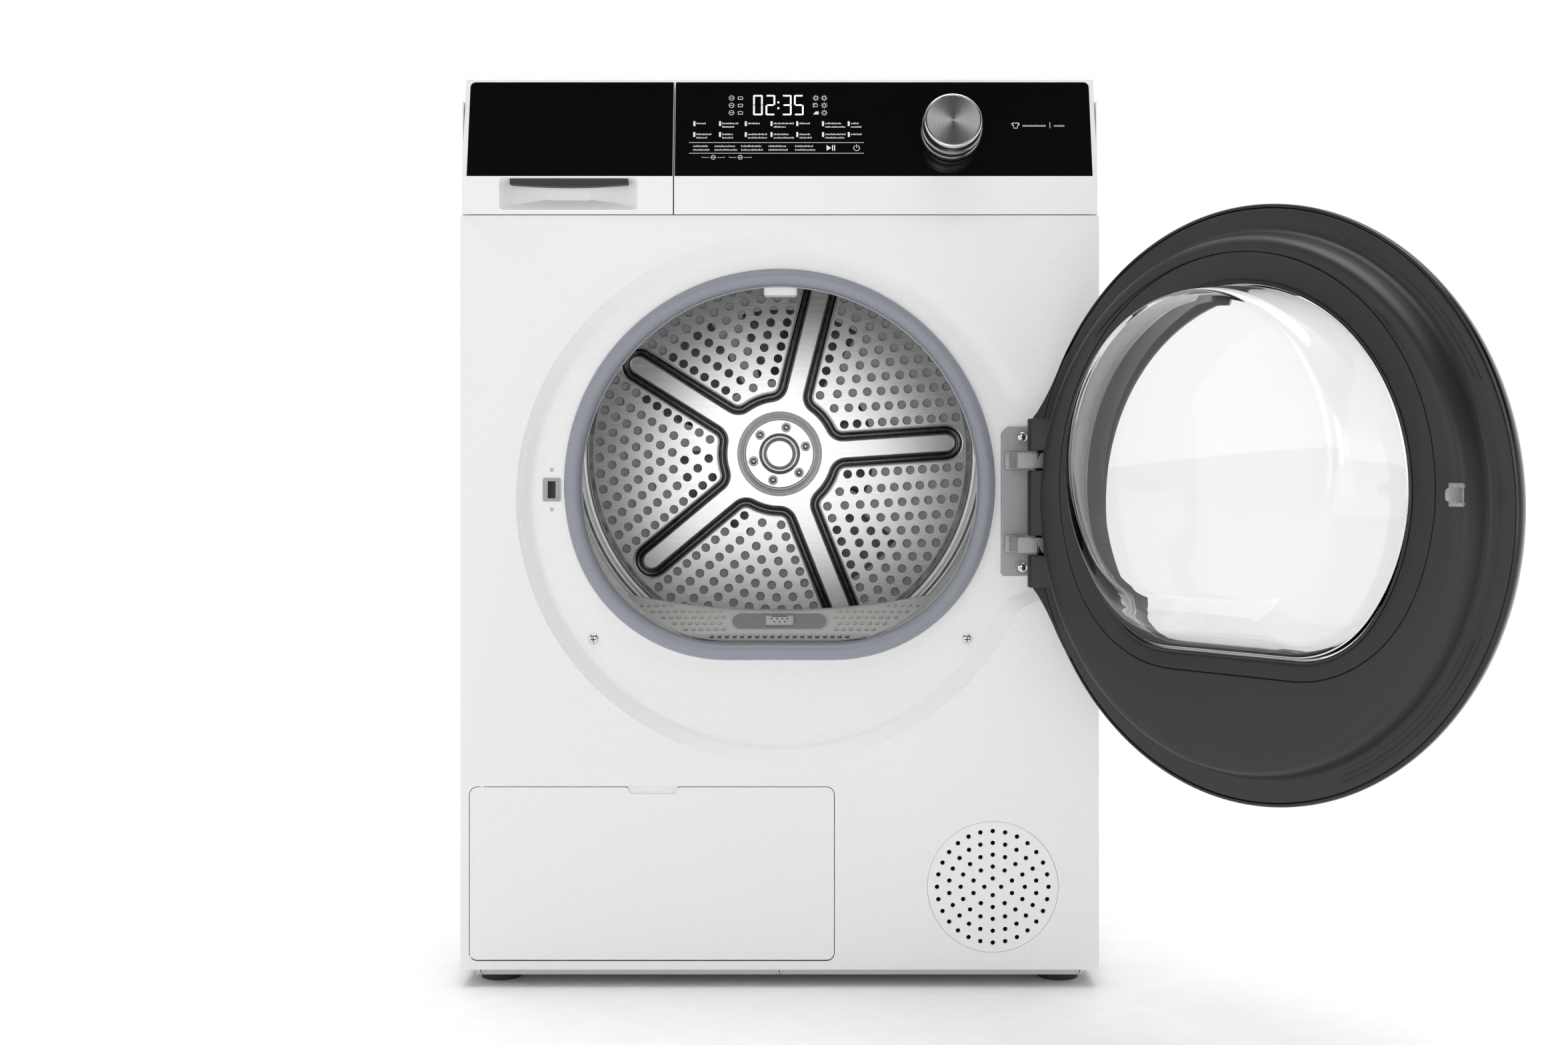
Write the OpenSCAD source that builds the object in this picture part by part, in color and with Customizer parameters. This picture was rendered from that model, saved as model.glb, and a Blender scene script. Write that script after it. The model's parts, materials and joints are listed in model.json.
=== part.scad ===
// Front-loading heat-pump clothes dryer, 60 cm class, shown with its door open.
// Frame: X to the right, Y into the machine, Z up. The origin is on the floor, on the
// cabinet's centre line, straight below the outer face of the front panel.

/* [Cabinet] */
// Width of the cabinet
cab_w = 595; // [590:1:600]
// Height from the floor to the top of the worktop
cab_h = 850; // [845:1:852]
// Depth from the front panel to the rear cover
cab_d = 600; // [598:1:620]
// Height of the front panel's bottom edge
panel_z0 = 16.5; // [15:0.5:18]
// Height of the joint between front panel and console
panel_z1 = 719.3; // [717:0.1:719.4]
// Thickness of the sheet metal
sheet = 1.2; // [0.8:0.1:1.5]

/* [Door opening] */
// Height of the centre of the round recess in the front panel
recess_z = 454.5; // [452:0.5:457]
// Radius of the recess at the panel's face
recess_r = 244; // [244:0.5:246]
// Radius of the recess at its floor
recess_floor_r = 228; // [226:0.5:230]
// Depth of the recess floor behind the face
recess_d = 11.5; // [11:0.5:12]
// Height of the centre of the D-shaped loading opening
mouth_z = 468.4; // [467:0.1:469]
// Outer radius of the door gasket
gasket_r = 202; // [201:0.5:203]
// Width of the gasket's bulb
gasket_w = 16; // [14:1:17]

/* [Door] */
// Angle of the door from closed, as shown
door_open = 127; // [0:1:150]
// Distance of the hinge pin from the centre line
hinge_x = 240; // [240:0.5:241]
// Distance of the hinge pin in front of the panel
hinge_out = 26; // [25.5:0.5:26.5]
// Radius of the door disc
door_r = 243.5; // [242:0.5:244]
// Height of the door disc's centre
door_z = 453; // [452:0.5:454]

/* [Drum] */
// Height of the drum axis
drum_z = 502; // [500:0.5:502]
// Outside radius of the drum shell
drum_r = 280; // [278:0.5:280]
// Where the drum's front lip is
drum_y0 = 62; // [62:0.5:63]
// Where the drum's back plate is
drum_y1 = 488.5; // [486:0.5:490]
// Diameter of the air holes in the back plate
air_hole_d = 9.4; // [8:0.1:10]
// Turn of the five-armed star
star_turn = 3.8; // [0:0.1:72]

/* [Console] */
// Height where the console starts to lean back
lean_z0 = 755; // [754:0.5:756]
// How far the console's top edge is set back
lean_back = 24.2; // [22:0.1:26]
// Right edge of the tank drawer
drawer_x1 = -99.3; // [-101:0.1:-98]
// Distance of the knob from the centre line
knob_x = 160; // [150:1:170]
// Radius of the knob
knob_r = 27; // [25:0.5:28]
// How far the knob stands out
knob_out = 30; // [26:1:32]

/* [Service flap] */
// Left edge of the flap
flap_x0 = -288.2; // [-289:0.1:-286]
// Right edge of the flap
flap_x1 = 50.6; // [48:0.1:52]
// Bottom edge of the flap
flap_z0 = 26.1; // [26:0.1:27]
// Top edge of the flap
flap_z1 = 186.7; // [185:0.1:188]

/* [Air intake] */
// Centre of the air intake, from the centre line
intake_x = 198.3; // [195:0.1:200]
// Centre of the air intake, from the floor
intake_z = 94; // [92:0.5:96]
// Diameter of an intake hole
intake_hole_d = 4.3; // [4:0.1:5]

/* [Hidden] */
$fn = 64;
half_w = cab_w / 2;
side_t = 1;                        // side sheet
panel_return = 14;                 // depth of the front panel's folded edges
rear_y = 575;                      // inner face of the rear panel
console_half = half_w - 2;         // the console is a little narrower than the cabinet
console_gap = 0.6;
console_z0 = panel_z1 + console_gap;
console_wall = 2.5;
console_back = 45;                 // rear edge of the console's top
lean = atan(lean_back / (cab_h - lean_z0));
lean_len = norm([lean_back, cab_h - lean_z0]);
glass_margin = 4.5;                // white frame round the black glass
glass_t = 3;
knob_s = 43.3;                     // knob centre, measured up the leaning face
flat_drop = 0.8153;                // D opening: flat bottom below the centre, per radius
corner_share = 0.7426;             // D opening: bottom corner radius, per radius
drum_t = 1.2;
belt_y = 306;
belt_w = 7.2;
belt_t = 2.7;
belt_gap = 0.3;
motor_x = 150;
motor_z = 120;
motor_r = 50;
shaft_r = 6;
pulley_r = 12;
roller_r = 20;
roller_angle = 38;                 // each side of straight below the drum axis
roller_y = 85;
roller_w = 20;
axle_r = 4;
running = 0.05;                    // radial clearance of a shaft in its bore
foot_x = 265;
foot_y = [45, 545];
arm_z = [413, 490.5];              // the two hinge arms
arm_h = 14.4;
pin_r = 3;
hook_x = -212.1;
window_z = 466;                    // centre of the door's window
lock_x = -213.3;
lock_z = 463.4;
pocket = [206, 266, 371.5, 533.5]; // hinge pocket: left, right, bottom, top
pocket_r = 20;
panel_screw_x = [-174.2, 175.2];
panel_screw_z = 323.5;
hinge_screw_x = 227;
hinge_screw_z = [390.5, 512.7];
plinth_screw_x = [-279.6, 0, 280.7];
plinth_screw_z = 13.2;
flap_pin = [6, 36.5];                // y and z of the flap's hinge line
flap_lug_x = [flap_x0 + 18, flap_x1 - 24];
channel_x = [-275, -17];           // walls of the heat exchanger channel
lever_x = [-230, -62];
lever_z = 112;
scroll_y = 568;                    // back of the process fan's scroll
compressor_at = [200, 175, 21];
pump_at = [-225, 535, 62];
hose_x = -281;
spigot = [-235, 740];              // x and z of the drain spigot
inlet = [247, 763];                // x and z of the mains cable's entry

// ---- helpers -------------------------------------------------------------------------

// A box between two opposite corners.
module block(a, b) translate(a) cube(b - a);

// Stands a flat outline up in the XZ plane, from depth y0 to depth y1.
module upright(y0, y1) translate([0, y1, 0]) rotate([90, 0, 0]) linear_extrude(y1 - y0) children();

// Turns a profile of (radius, depth) points about an axis along Y.
module turned(x, z) translate([x, 0, z]) rotate([-90, 0, 0]) rotate_extrude() children();

// A round bar along Y.
module bar_y(x, z, r, y0, y1) translate([x, y0, z]) rotate([-90, 0, 0]) cylinder(r = r, h = y1 - y0);

// Extrudes a profile of (depth, height) points along X.
module along_x(x0, x1) translate([x0, 0, 0]) rotate([90, 0, 90]) linear_extrude(x1 - x0) children();

// A rectangle with round corners, centred.
module round_rect(w, h, r) {
    square([w - 2 * r, h], center = true);
    square([w, h - 2 * r], center = true);
    for (sx = [-1, 1], sy = [-1, 1]) translate([sx * (w / 2 - r), sy * (h / 2 - r)]) circle(r);
}

// The same, given by its edges.
module round_rect_at(x0, x1, z0, z1, r)
    translate([(x0 + x1) / 2, (z0 + z1) / 2]) round_rect(x1 - x0, z1 - z0, r);

// A D outline: a circle of radius r with a flat bottom, drop below its centre, and corner
// arcs that touch both.
module d_shape(r, drop, corner) {
    cx = sqrt(pow(r - corner, 2) - pow(drop - corner, 2));
    touch = -r * (drop - corner) / (r - corner);
    intersection() {
        circle(r);
        translate([-r, min(touch, -touch)]) square([2 * r, 2 * r]);
    }
    for (s = [-1, 1]) translate([s * cx, corner - drop]) circle(corner);
    translate([-cx, -drop]) square([2 * cx, drop]);
}

// The loading opening's D. Outlines of any r are parallel.
module d_outline(r) {
    inset = gasket_r - r;
    d_shape(r, gasket_r * flat_drop - inset, gasket_r * corner_share - inset);
}

// The door window's D. Outlines of any r are the same shape.
module d_window(r) d_shape(r, 0.808 * r, 0.72 * r);

// A flat D ring round the loading opening.
module d_ring(r_out, r_in, y0, y1) upright(y0, y1) translate([0, mouth_z]) difference() {
    d_outline(r_out);
    d_outline(r_in);
}

// The door is drawn closed and swung open about its pin.
module swung() translate([hinge_x, -hinge_out, 0]) rotate([0, 0, door_open])
    translate([-hinge_x, hinge_out, 0]) children();

// Local frame of the leaning console face: X right, Z up the face, -Y outwards.
module on_lean() translate([0, 0, lean_z0]) rotate([-lean, 0, 0]) children();

// A pipe through a list of points, with round elbows.
module pipe(points, r) for (i = [0 : len(points) - 1]) {
    translate(points[i]) sphere(r);
    if (i > 0) {
        step = points[i] - points[i - 1];
        translate(points[i - 1]) rotate([0, acos(step.z / norm(step)), atan2(step.y, step.x)])
            cylinder(r = r, h = norm(step));
    }
}

// ---- cabinet -------------------------------------------------------------------------

module base_module() color("#c9cbcc") {
    difference() {
        union() {
            block([-290, 20, 17], [290, 572, 21]);
            block([-290, 20, 17], [290, 23, 28]);
            block([-290, 569, 17], [290, 572, 60]);
            for (s = [-1, 1]) block([s > 0 ? 287 : -290, 20, 17], [s > 0 ? 290 : -287, 572, 60]);
            for (x = channel_x) block([x, 30, 21], [x + 3, 430, 185]);
            block([channel_x[0], 62, 185], [channel_x[1] + 3, 430, 188]);
            // cradles for the motor
            for (y = [330, 408]) block([motor_x - 35, y, 21], [motor_x + 35, y + 12, 95]);
            // lugs that carry the service flap
            for (x = flap_lug_x) {
                block([x, flap_pin.x, flap_pin.y - 2], [x + 6, 22, flap_pin.y + 3]);
                block([x, 20, 28], [x + 6, 23, flap_pin.y + 3]);
                translate([x, flap_pin.x, flap_pin.y]) rotate([0, 90, 0]) cylinder(r = 3.6, h = 6);
            }
            // bosses for the feet
            for (x = [-foot_x, foot_x], y = foot_y) translate([x, y, 11]) cylinder(r = 12, h = 30);
            // plinth bar under the front panel
            block([-284, 12, 9.5], [284, 24, 17]);
        }
        for (x = flap_lug_x) translate([x - 1, flap_pin.x, flap_pin.y])
            rotate([0, 90, 0]) cylinder(r = 1.55, h = 8);
        bar_y(motor_x, motor_z, motor_r + 0.2, 325, 425);
        for (x = [-foot_x, foot_x], y = foot_y) translate([x, y, 10]) cylinder(r = 5.05, h = 32);
        for (x = plinth_screw_x) bar_y(x, plinth_screw_z, 2, 11, 22);
    }
}

module side_panel(s) color("#f2f3f3") {
    x = s * (half_w - side_t / 2);
    difference() {
        union() {
            translate([x - side_t / 2, panel_return + 0.5, panel_z0]) cube([side_t, 560.5, 811.5]);
            block([min(s * 282, s * (half_w - 0.1)), rear_y - 1, panel_z0 + 1.5],
                  [max(s * 282, s * (half_w - 0.1)), rear_y, 827]);
        }
        // cooling louvres low on the side
        for (i = [0 : 7]) block([x - 5, 60, 52 + 16 * i], [x + 5, 150, 56 + 16 * i]);
    }
}
module side_panel_left() side_panel(-1);
module side_panel_right() side_panel(1);

module rear_panel() color("#c4c7c9") difference() {
    upright(rear_y, rear_y + 1.5) round_rect_at(-half_w + 1, half_w - 1, 18, 827, 4);
    // vent holes behind the compressor
    for (i = [0 : 9], j = [0 : 5]) bar_y(110 + 16 * i, 40 + 16 * j, 4, rear_y - 1, rear_y + 4);
    bar_y(spigot.x, spigot.y, 6.3, rear_y - 1, rear_y + 4);
    upright(rear_y - 1, rear_y + 4) translate(inlet) round_rect(42, 36, 3);
}

module rear_cover() color("#b9bcbe") turned(0, drum_z) polygon([
    [0, cab_d - 2], [205, cab_d - 2], [222, rear_y + 2.7], [246, rear_y + 2.7],
    [246, rear_y + 1.5], [221.2, rear_y + 1.5], [204.4, cab_d - 3.2], [0, cab_d - 3.2]]);

module worktop() color("#f4f4f4") {
    upright(console_back + 0.5, cab_d - 2) round_rect_at(-half_w, half_w, 828.3, cab_h, 2);
}

module front_panel() color("#f4f4f4") {
    difference() {
        union() {
            // face, with the round hole for the recess
            difference() {
                upright(0, sheet) translate([0, (panel_z0 + panel_z1) / 2])
                    round_rect(cab_w, panel_z1 - panel_z0, 3);
                bar_y(0, recess_z, recess_r, -1, 3);
            }
            // wall and floor of the recess
            turned(0, recess_z) polygon([[recess_r, 0], [recess_r - 4, 1.2],
                [recess_floor_r + 6, recess_d - 1], [recess_floor_r, recess_d], [100, recess_d], [100, recess_d + sheet],
                [recess_floor_r, recess_d + sheet], [recess_floor_r + 6.6, recess_d + 0.2],
                [recess_r - 3.4, 2.4], [recess_r + 2, sheet], [recess_r + 2, 0]]);
            // pocket for the hinge
            upright(0, recess_d + sheet) round_rect_at(pocket[0] - sheet, pocket[1] + sheet,
                pocket[2] - sheet, pocket[3] + sheet, pocket_r + sheet);
            // folded edges
            for (s = [-1, 1]) block([s > 0 ? half_w - sheet : -half_w, 0.5, panel_z0 + 3],
                [s > 0 ? half_w : sheet - half_w, panel_return, panel_z1 - 3]);
            block([-half_w + 3, 0.5, panel_z1 - sheet], [half_w - 3, panel_return, panel_z1]);
        }
        upright(-1, recess_d) round_rect_at(pocket[0], pocket[1], pocket[2], pocket[3], pocket_r);
        // inside of the recess, so that the pocket's walls stop at it
        turned(0, recess_z) polygon([[0, -1], [recess_r, -1], [recess_r, 0], [recess_r - 4, 1.2],
            [recess_floor_r + 6, recess_d - 1], [recess_floor_r, recess_d], [0, recess_d]]);
        upright(recess_d - 1, recess_d + 3) translate([0, mouth_z]) d_outline(gasket_r - 6);
        // service flap and air intake
        upright(-1, 3) round_rect_at(flap_x0 - 0.7, flap_x1 + 0.7, flap_z0 - 1.4, flap_z1 + 0.7, 7.7);
        bar_y(intake_x, intake_z, 61, -1, 3);
        // lock slot and screw holes
        block([lock_x - 5, 5, lock_z - 9.3], [lock_x + 5, 20, lock_z + 9.3]);
        for (x = panel_screw_x) bar_y(x, panel_screw_z, 2, 5, 20);
        for (z = hinge_screw_z) bar_y(hinge_screw_x, z, 2, 5, 20);
    }
}

// A cross-head screw whose head rests on depth y, pointing into the machine.
module screw(x, z, y, head_r) difference() {
    union() {
        bar_y(x, z, head_r, y - 2.2, y);
        bar_y(x, z, 1.9, y, y + 9);
    }
    for (turn = [0, 90])
        translate([x, y - 2.2, z]) rotate([0, turn, 0]) cube([head_r, 2.4, 1], center = true);
}

module front_screws() color("#b4b6b8") {
    for (x = panel_screw_x) screw(x, panel_screw_z, recess_d, 4.5);
    for (z = hinge_screw_z) screw(hinge_screw_x, z, recess_d - 3, 4.5);
    for (x = plinth_screw_x) screw(x, plinth_screw_z, 12, 3);
}

module air_intake_grille() color("#f2f2f2") upright(0.2, 2.2) translate([intake_x, intake_z]) difference() {
    circle(60.7);
    for (ring = [0 : 4]) {
        count = 4 + 6 * ring;
        radius = 7.8 + 11.02 * ring;
        for (i = [0 : count - 1]) rotate(90 + 360 * i / count) translate([radius, 0])
            circle(d = intake_hole_d);
    }
}

// ---- console -------------------------------------------------------------------------

module console_shell(x0, x1) {
    difference() {
        along_x(x0, x1) polygon([[0, console_z0], [0, lean_z0], [lean_back, cab_h], [console_back, cab_h],
            [console_back, console_z0]]);
        along_x(x0 + console_wall, x1 - console_wall) polygon([[console_wall, console_z0 + console_wall],
            [console_wall, lean_z0], [console_wall + 2.6, lean_z0], [lean_back + 4.4, cab_h - console_wall],
            [console_back + 1, cab_h - console_wall], [console_back + 1, console_z0 + console_wall]]);
        // seat of the glass
        on_lean() upright(-1, glass_t + 0.1) round_rect_at(x0 + glass_margin - 0.2, x1 - glass_margin + 0.2,
            0.3, lean_len - 3.8, 5);
        on_lean() upright(-1, 12) round_rect_at(x0 + 12, x1 - 12, 8, lean_len - 12, 4);
        // room for the bulkhead's collar
        bar_y(0, drum_z, 245, 20, console_back + 2);
    }
}

module fascia() color("#f4f4f4") console_shell(drawer_x1 + 1.2, console_half);

module lean_glass(x0, x1) on_lean() upright(0, glass_t)
    round_rect_at(x0 + glass_margin, x1 - glass_margin, 0.5, lean_len - 4, 5);

module control_glass() color("#0b0b0c") difference() {
    lean_glass(drawer_x1 + 1.2, console_half);
    on_lean() bar_y(knob_x, knob_s, 6, -1, 5);
}

module control_board() color("#1f5b3a") on_lean() {
    difference() {
        union() {
            block([-80, 12, 12], [280, 13.6, 82]);
            block([-25, 5.4, 52], [28, 12, 74]);
            bar_y(knob_x, knob_s, 8, 4.5, 12);
        }
        bar_y(knob_x, knob_s, 3 + running, 4, 10.5);
    }
}

module program_knob() color("#c9cbcd") on_lean() translate([knob_x, 0, knob_s]) rotate([90, 0, 0])
    rotate_extrude() polygon([[0, knob_out], [knob_r - 3, knob_out], [knob_r - 1.5, knob_out - 1.5],
        [knob_r - 1.5, 17], [knob_r, 16], [knob_r, 12], [knob_r - 1, 11], [knob_r - 1, 7], [knob_r, 6],
        [knob_r, 0.5], [20, 0.5], [20, 3], [3, 3], [3, -10], [0, -10]]);

module tank_drawer_front() color("#f4f4f4") {
    grip = [-196.5 - 64.3, -196.5 + 64.3, 724, 754];
    difference() {
        union() {
            difference() {
                console_shell(-console_half, drawer_x1);
                upright(-1, 5) round_rect_at(grip[0], grip[1], grip[2], grip[3], 6);
            }
            // walls of the grip
            difference() {
                upright(0.5, 30) round_rect_at(grip[0] - 2, grip[1] + 2, grip[2] - 1.5, grip[3] + 2, 7);
                upright(-1, 28) round_rect_at(grip[0], grip[1], grip[2], grip[3], 6);
            }
            // back plate that carries the tank
            block([-console_half + 3, 42, 752], [drawer_x1 - 6, 45, 826]);
        }
        block([grip[0] + 9, 12, grip[3] - 4], [grip[1] - 9, 28, grip[3] + 3]);
    }
    color("#0b0b0c") lean_glass(-console_half, drawer_x1);
}

module water_tank() color("#d9dde0") difference() {
    upright(45, 470) polygon([[-288, 750], [-170, 750], [-170, 775], [-107, 775],
        [-107, 826], [-288, 826]]);
    upright(47, 468) polygon([[-286, 752], [-172, 752], [-172, 777], [-109, 777], [-109, 824], [-286, 824]]);
    translate([-250, 440, 820]) cylinder(r = 14, h = 10);
}

module tank_tray() color("#aeb1b3") difference() {
    union() {
        upright(50, 486) polygon([[-294, 744], [-164, 744], [-164, 768], [-101, 768], [-101, 826],
            [-103, 826], [-103, 772], [-168, 772], [-168, 747], [-291, 747], [-291, 826], [-294, 826]]);
        upright(484, 486) polygon([[-294, 744], [-164, 744], [-164, 768], [-101, 768], [-101, 826],
            [-294, 826]]);
    }
    bar_y(hose_x, 800, 7, 470, 490);
}

// ---- opening, bulkhead, lock and hinge -----------------------------------------------

module front_bulkhead() color("#d3d5d6") {
    difference() {
        union() {
            difference() {
                upright(24, 27) round_rect_at(-292, 292, 190, panel_z1 - 0.3, 60);
                upright(23, 28) translate([0, mouth_z]) d_outline(gasket_r - gasket_w);
            }
            // collar that reaches into the drum's mouth
            turned(0, drum_z) polygon([[240.5, 27], [243, 27], [243, 66], [240.5, 66]]);
            // pocket for the lint filter
            block([-125, 27, 189], [125, 60.3, 317]);
            // studs of the support rollers
            for (s = [-1, 1]) bar_y(s * roller_cx(), roller_cz(), axle_r, 27, roller_y + roller_w + 3);
        }
        block([-123, 29.3, 188], [123, 58.3, 330]);
        block([-126, 23, 317], [126, 70, 330]);
        block([-152, 27, 318], [152, 60.3, 380]);
        block([lock_x - 17, 20, lock_z - 22], [lock_x + 17, 30, lock_z + 22]);
    }
}
function roller_cx() = (drum_r + roller_r + 0.3) * sin(roller_angle);
function roller_cz() = drum_z - (drum_r + roller_r + 0.3) * cos(roller_angle);

module door_gasket() color("#8b8d96") {
    d_ring(gasket_r, gasket_r - gasket_w, 4.6, recess_d);
    d_ring(gasket_r - 6.3, gasket_r - gasket_w, recess_d, 24);
}

module felt_seals() color("#6f6a63") {
    turned(0, drum_z) polygon([[243, 60.6], [245.7, 60.6], [245.7, 66], [243, 66]]);
    turned(0, drum_z) polygon([[224, 489], [234, 489], [234, 500], [224, 500]]);
}

module drum_lamp() color("#f6f7f2") {
    upright(27.2, 50) round_rect_at(-17, 17, 643, 668, 3);
}

module door_lock() color("#9b9da0") difference() {
    union() {
        block([lock_x - 15, recess_d + sheet, lock_z - 20], [lock_x + 15, 50, lock_z + 20]);
        upright(recess_d - 1, recess_d) round_rect_at(lock_x - 8.2, lock_x + 8.2, lock_z - 10.9,
            lock_z + 10.9, 1.5);
        upright(recess_d - 1, recess_d + sheet) round_rect_at(lock_x - 4.7, lock_x + 4.7, lock_z - 9,
            lock_z + 9, 1);
    }
    block([lock_x - 3.7, 5, lock_z - 8], [lock_x + 3.7, 20, lock_z + 8]);
    block([lock_x - 8, 15, lock_z - 12], [lock_x + 8, 45, lock_z + 12]);
}

module hinge_bracket() color("#a9abad") difference() {
    union() {
        upright(recess_d - 3, recess_d) round_rect_at(211, 258, 382.5, 522.7, 4);
        for (z = arm_z) {
            block([216, -32.5, z - arm_h / 2], [222, recess_d - 3, z + arm_h / 2]);
            block([216, -32.5, z - arm_h / 2], [hinge_x, -26.5, z + arm_h / 2]);
            translate([hinge_x, -hinge_out, z - arm_h / 2]) cylinder(r = 6.5, h = arm_h);
        }
    }
    for (z = arm_z) translate([hinge_x, -hinge_out, z - arm_h]) cylinder(r = pin_r, h = 2 * arm_h);
    for (z = hinge_screw_z) bar_y(hinge_screw_x, z, 2, 0, 20);
}

// The pins are pressed into the arms and turn in the door's tab.
module hinge_pins() color("#8e9093") for (z = arm_z)
    translate([hinge_x, -hinge_out, z - 18]) cylinder(r = pin_r, h = 36);

// ---- drum and its drive --------------------------------------------------------------

module drum_shell() color("#c8cacb") turned(0, drum_z) polygon([
    [246, drum_y0], [drum_r, drum_y0], [drum_r, drum_y1 - 26.5], [243, drum_y1], [222, drum_y1],
    [222, drum_y1 - drum_t], [242.4, drum_y1 - drum_t], [drum_r - drum_t, drum_y1 - 27.1],
    [drum_r - drum_t, drum_y0 + drum_t], [246, drum_y0 + drum_t]]);

// One perforated sector, between two arms of the star: rows of holes on arcs.
module sector_holes() for (ring = [0 : 6]) {
    radius = 88 + 19 * ring;
    half_count = floor((radius * sin(36) - 30) / 15);
    for (i = [-half_count : half_count]) rotate(36 + i * 15 / radius * 57.3) translate([radius, 0])
        circle(d = air_hole_d);
}

module drum_back() color("#cdcfd0") upright(drum_y1, drum_y1 + 1.5) translate([0, drum_z]) difference() {
    circle(222.5);
    for (k = [0 : 4]) rotate(star_turn + 72 * k) sector_holes();
}

module drum_hub() color("#c4c6c7") difference() {
    turned(0, drum_z) polygon([[0, drum_y1 - 6], [15, drum_y1 - 6], [18, drum_y1 - 9], [24, drum_y1 - 9],
        [25, drum_y1 - 5], [42, drum_y1 - 5], [44, drum_y1 - 3], [49, drum_y1 - 3], [51, drum_y1],
        [0, drum_y1]]);
    for (i = [0 : 5]) rotate_hub(16 + 60 * i) bar_y(32, 0, 3, drum_y1 - 10, drum_y1 + 3);
}
module rotate_hub(angle) translate([0, 0, drum_z]) rotate([0, -angle, 0]) children();

module hub_screws() color("#b0b2b4") for (i = [0 : 5]) rotate_hub(16 + 60 * i) {
    bar_y(32, 0, 6.5, drum_y1 - 9, drum_y1 - 5);
    bar_y(32, 0, 2.9, drum_y1 - 5, drum_y1);
}

module drum_shaft() color("#9a9c9e") {
    bar_y(0, drum_z, 40, drum_y1 + 1.5, drum_y1 + 5.5);
    bar_y(0, drum_z, 10, drum_y1 + 5.5, 568);
}

// Ring that feeds warm air to the back of the drum, with the drum's rear bearing on three spokes.
module rear_air_duct() color("#b5b8ba") difference() {
    union() {
        turned(0, drum_z) polygon([[224, 500], [235, 500], [235, rear_y], [232, rear_y],
            [232, 503], [224, 503]]);
        bar_y(0, drum_z, 24, 530, 572);
        for (k = [0 : 2]) translate([0, 0, drum_z]) rotate([0, 30 + 120 * k, 0])
            block([20, 545, -9], [233, 565, 9]);
    }
    bar_y(0, drum_z, 10 + running, 520, 580);
    block([64.7, 502, 200], [125.3, 580, 330]);
}

// Duct from the heat exchangers to the fan, and the fan's scroll with its outlet.
module process_air_duct() color("#c2c4c5") difference() {
    union() {
        block([-275, 432, 30], [240, 503, 205]);
        bar_y(motor_x, motor_z, 85, 503, scroll_y);
        block([65, 503, motor_z], [125, scroll_y, 300]);
    }
    block([-272, 431, 33], [-20, 440, 182]);
    block([-272, 435, 33], [237, 500, 202]);
    bar_y(motor_x, motor_z, 45, 490, 510);
    bar_y(motor_x, motor_z, 82, 506, scroll_y - 3);
    block([68, 506, motor_z], [122, scroll_y - 3, 301]);
    bar_y(motor_x, motor_z, 8, 425, 440);
}

module motor_housing() color("#7c8288") difference() {
    union() {
        bar_y(motor_x, motor_z, motor_r, 325, 425);
        bar_y(motor_x, motor_z, 20, 315, 430);
    }
    bar_y(motor_x, motor_z, shaft_r + running, 310, 435);
}

module motor_rotor() color("#9fa2a5") {
    bar_y(motor_x, motor_z, shaft_r, 298, 560);
    turned(motor_x, motor_z) polygon([[shaft_r - 1, 299], [16, 299], [16, 301], [pulley_r, 302],
        [pulley_r, 310], [16, 311], [16, 313], [shaft_r - 1, 313]]);
}

module process_impeller() color("#2d3033") difference() {
    union() {
        bar_y(motor_x, motor_z, 14, 512, 560);
        bar_y(motor_x, motor_z, 75, 557, 560);
        for (i = [0 : 15]) translate([motor_x, 0, motor_z]) rotate([0, 22.5 * i, 0])
            block([50, 514, -1], [75, 558, 1]);
    }
    bar_y(motor_x, motor_z, shaft_r, 500, 565);
}

module drive_belt() color("#26282a") upright(belt_y - belt_w / 2, belt_y + belt_w / 2) difference() {
    hull() {
        translate([0, drum_z]) circle(drum_r + belt_gap + belt_t, $fn = 120);
        translate([motor_x, motor_z]) circle(pulley_r + belt_gap + belt_t, $fn = 32);
    }
    hull() {
        translate([0, drum_z]) circle(drum_r + belt_gap, $fn = 120);
        translate([motor_x, motor_z]) circle(pulley_r + belt_gap, $fn = 32);
    }
}

module support_roller(s) color("#3a3c3e") difference() {
    bar_y(s * roller_cx(), roller_cz(), roller_r, roller_y, roller_y + roller_w);
    bar_y(s * roller_cx(), roller_cz(), axle_r + running, roller_y - 1, roller_y + roller_w + 1);
}
module support_roller_left() support_roller(-1);
module support_roller_right() support_roller(1);

// ---- heat pump -----------------------------------------------------------------------

module compressor() color("#2b2d30") {
    translate(compressor_at) rotate_extrude() polygon([[0, 12], [60, 12], [62, 16], [62, 150], [56, 168],
        [40, 180], [0, 184]]);
    for (i = [0 : 2]) translate(compressor_at) rotate(30 + 120 * i) {
        translate([55, -12, 12]) cube([25, 24, 3]);
        translate([70, 0, 0]) cylinder(r = 9, h = 12);
    }
}

// A block of aluminium fins on copper tubes.
module fin_block(y0, y1) {
    for (i = [0 : 22]) block([-266 + 10.5 * i, y0, 21], [-264.6 + 10.5 * i, y1, 176]);
    for (y = [y0 + 20, (y0 + y1) / 2, y1 - 20], z = [60, 106, 152])
        translate([-268, y, z]) rotate([0, 90, 0]) cylinder(r = 5, h = 240);
}
module evaporator() color("#b9c0c5") fin_block(70, 180);
module condenser() color("#c6c9c4") fin_block(210, 400);

module refrigerant_pipes() color("#b5713e") {
    pipe([[135.6, 160, 80], [100, 160, 80], [100, 125, 80], [-9.8, 125, 80]], 4);
    pipe([[135.6, 190, 120], [60, 190, 120], [60, 300, 120], [-9.8, 300, 120]], 4);
}

module condensate_pump() color("#4a4d50") {
    block([pump_at.x - 25, pump_at.y - 20, 21], [pump_at.x + 25, pump_at.y + 20, pump_at.z]);
    translate(pump_at) cylinder(r = 14, h = 18);
}

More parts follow.
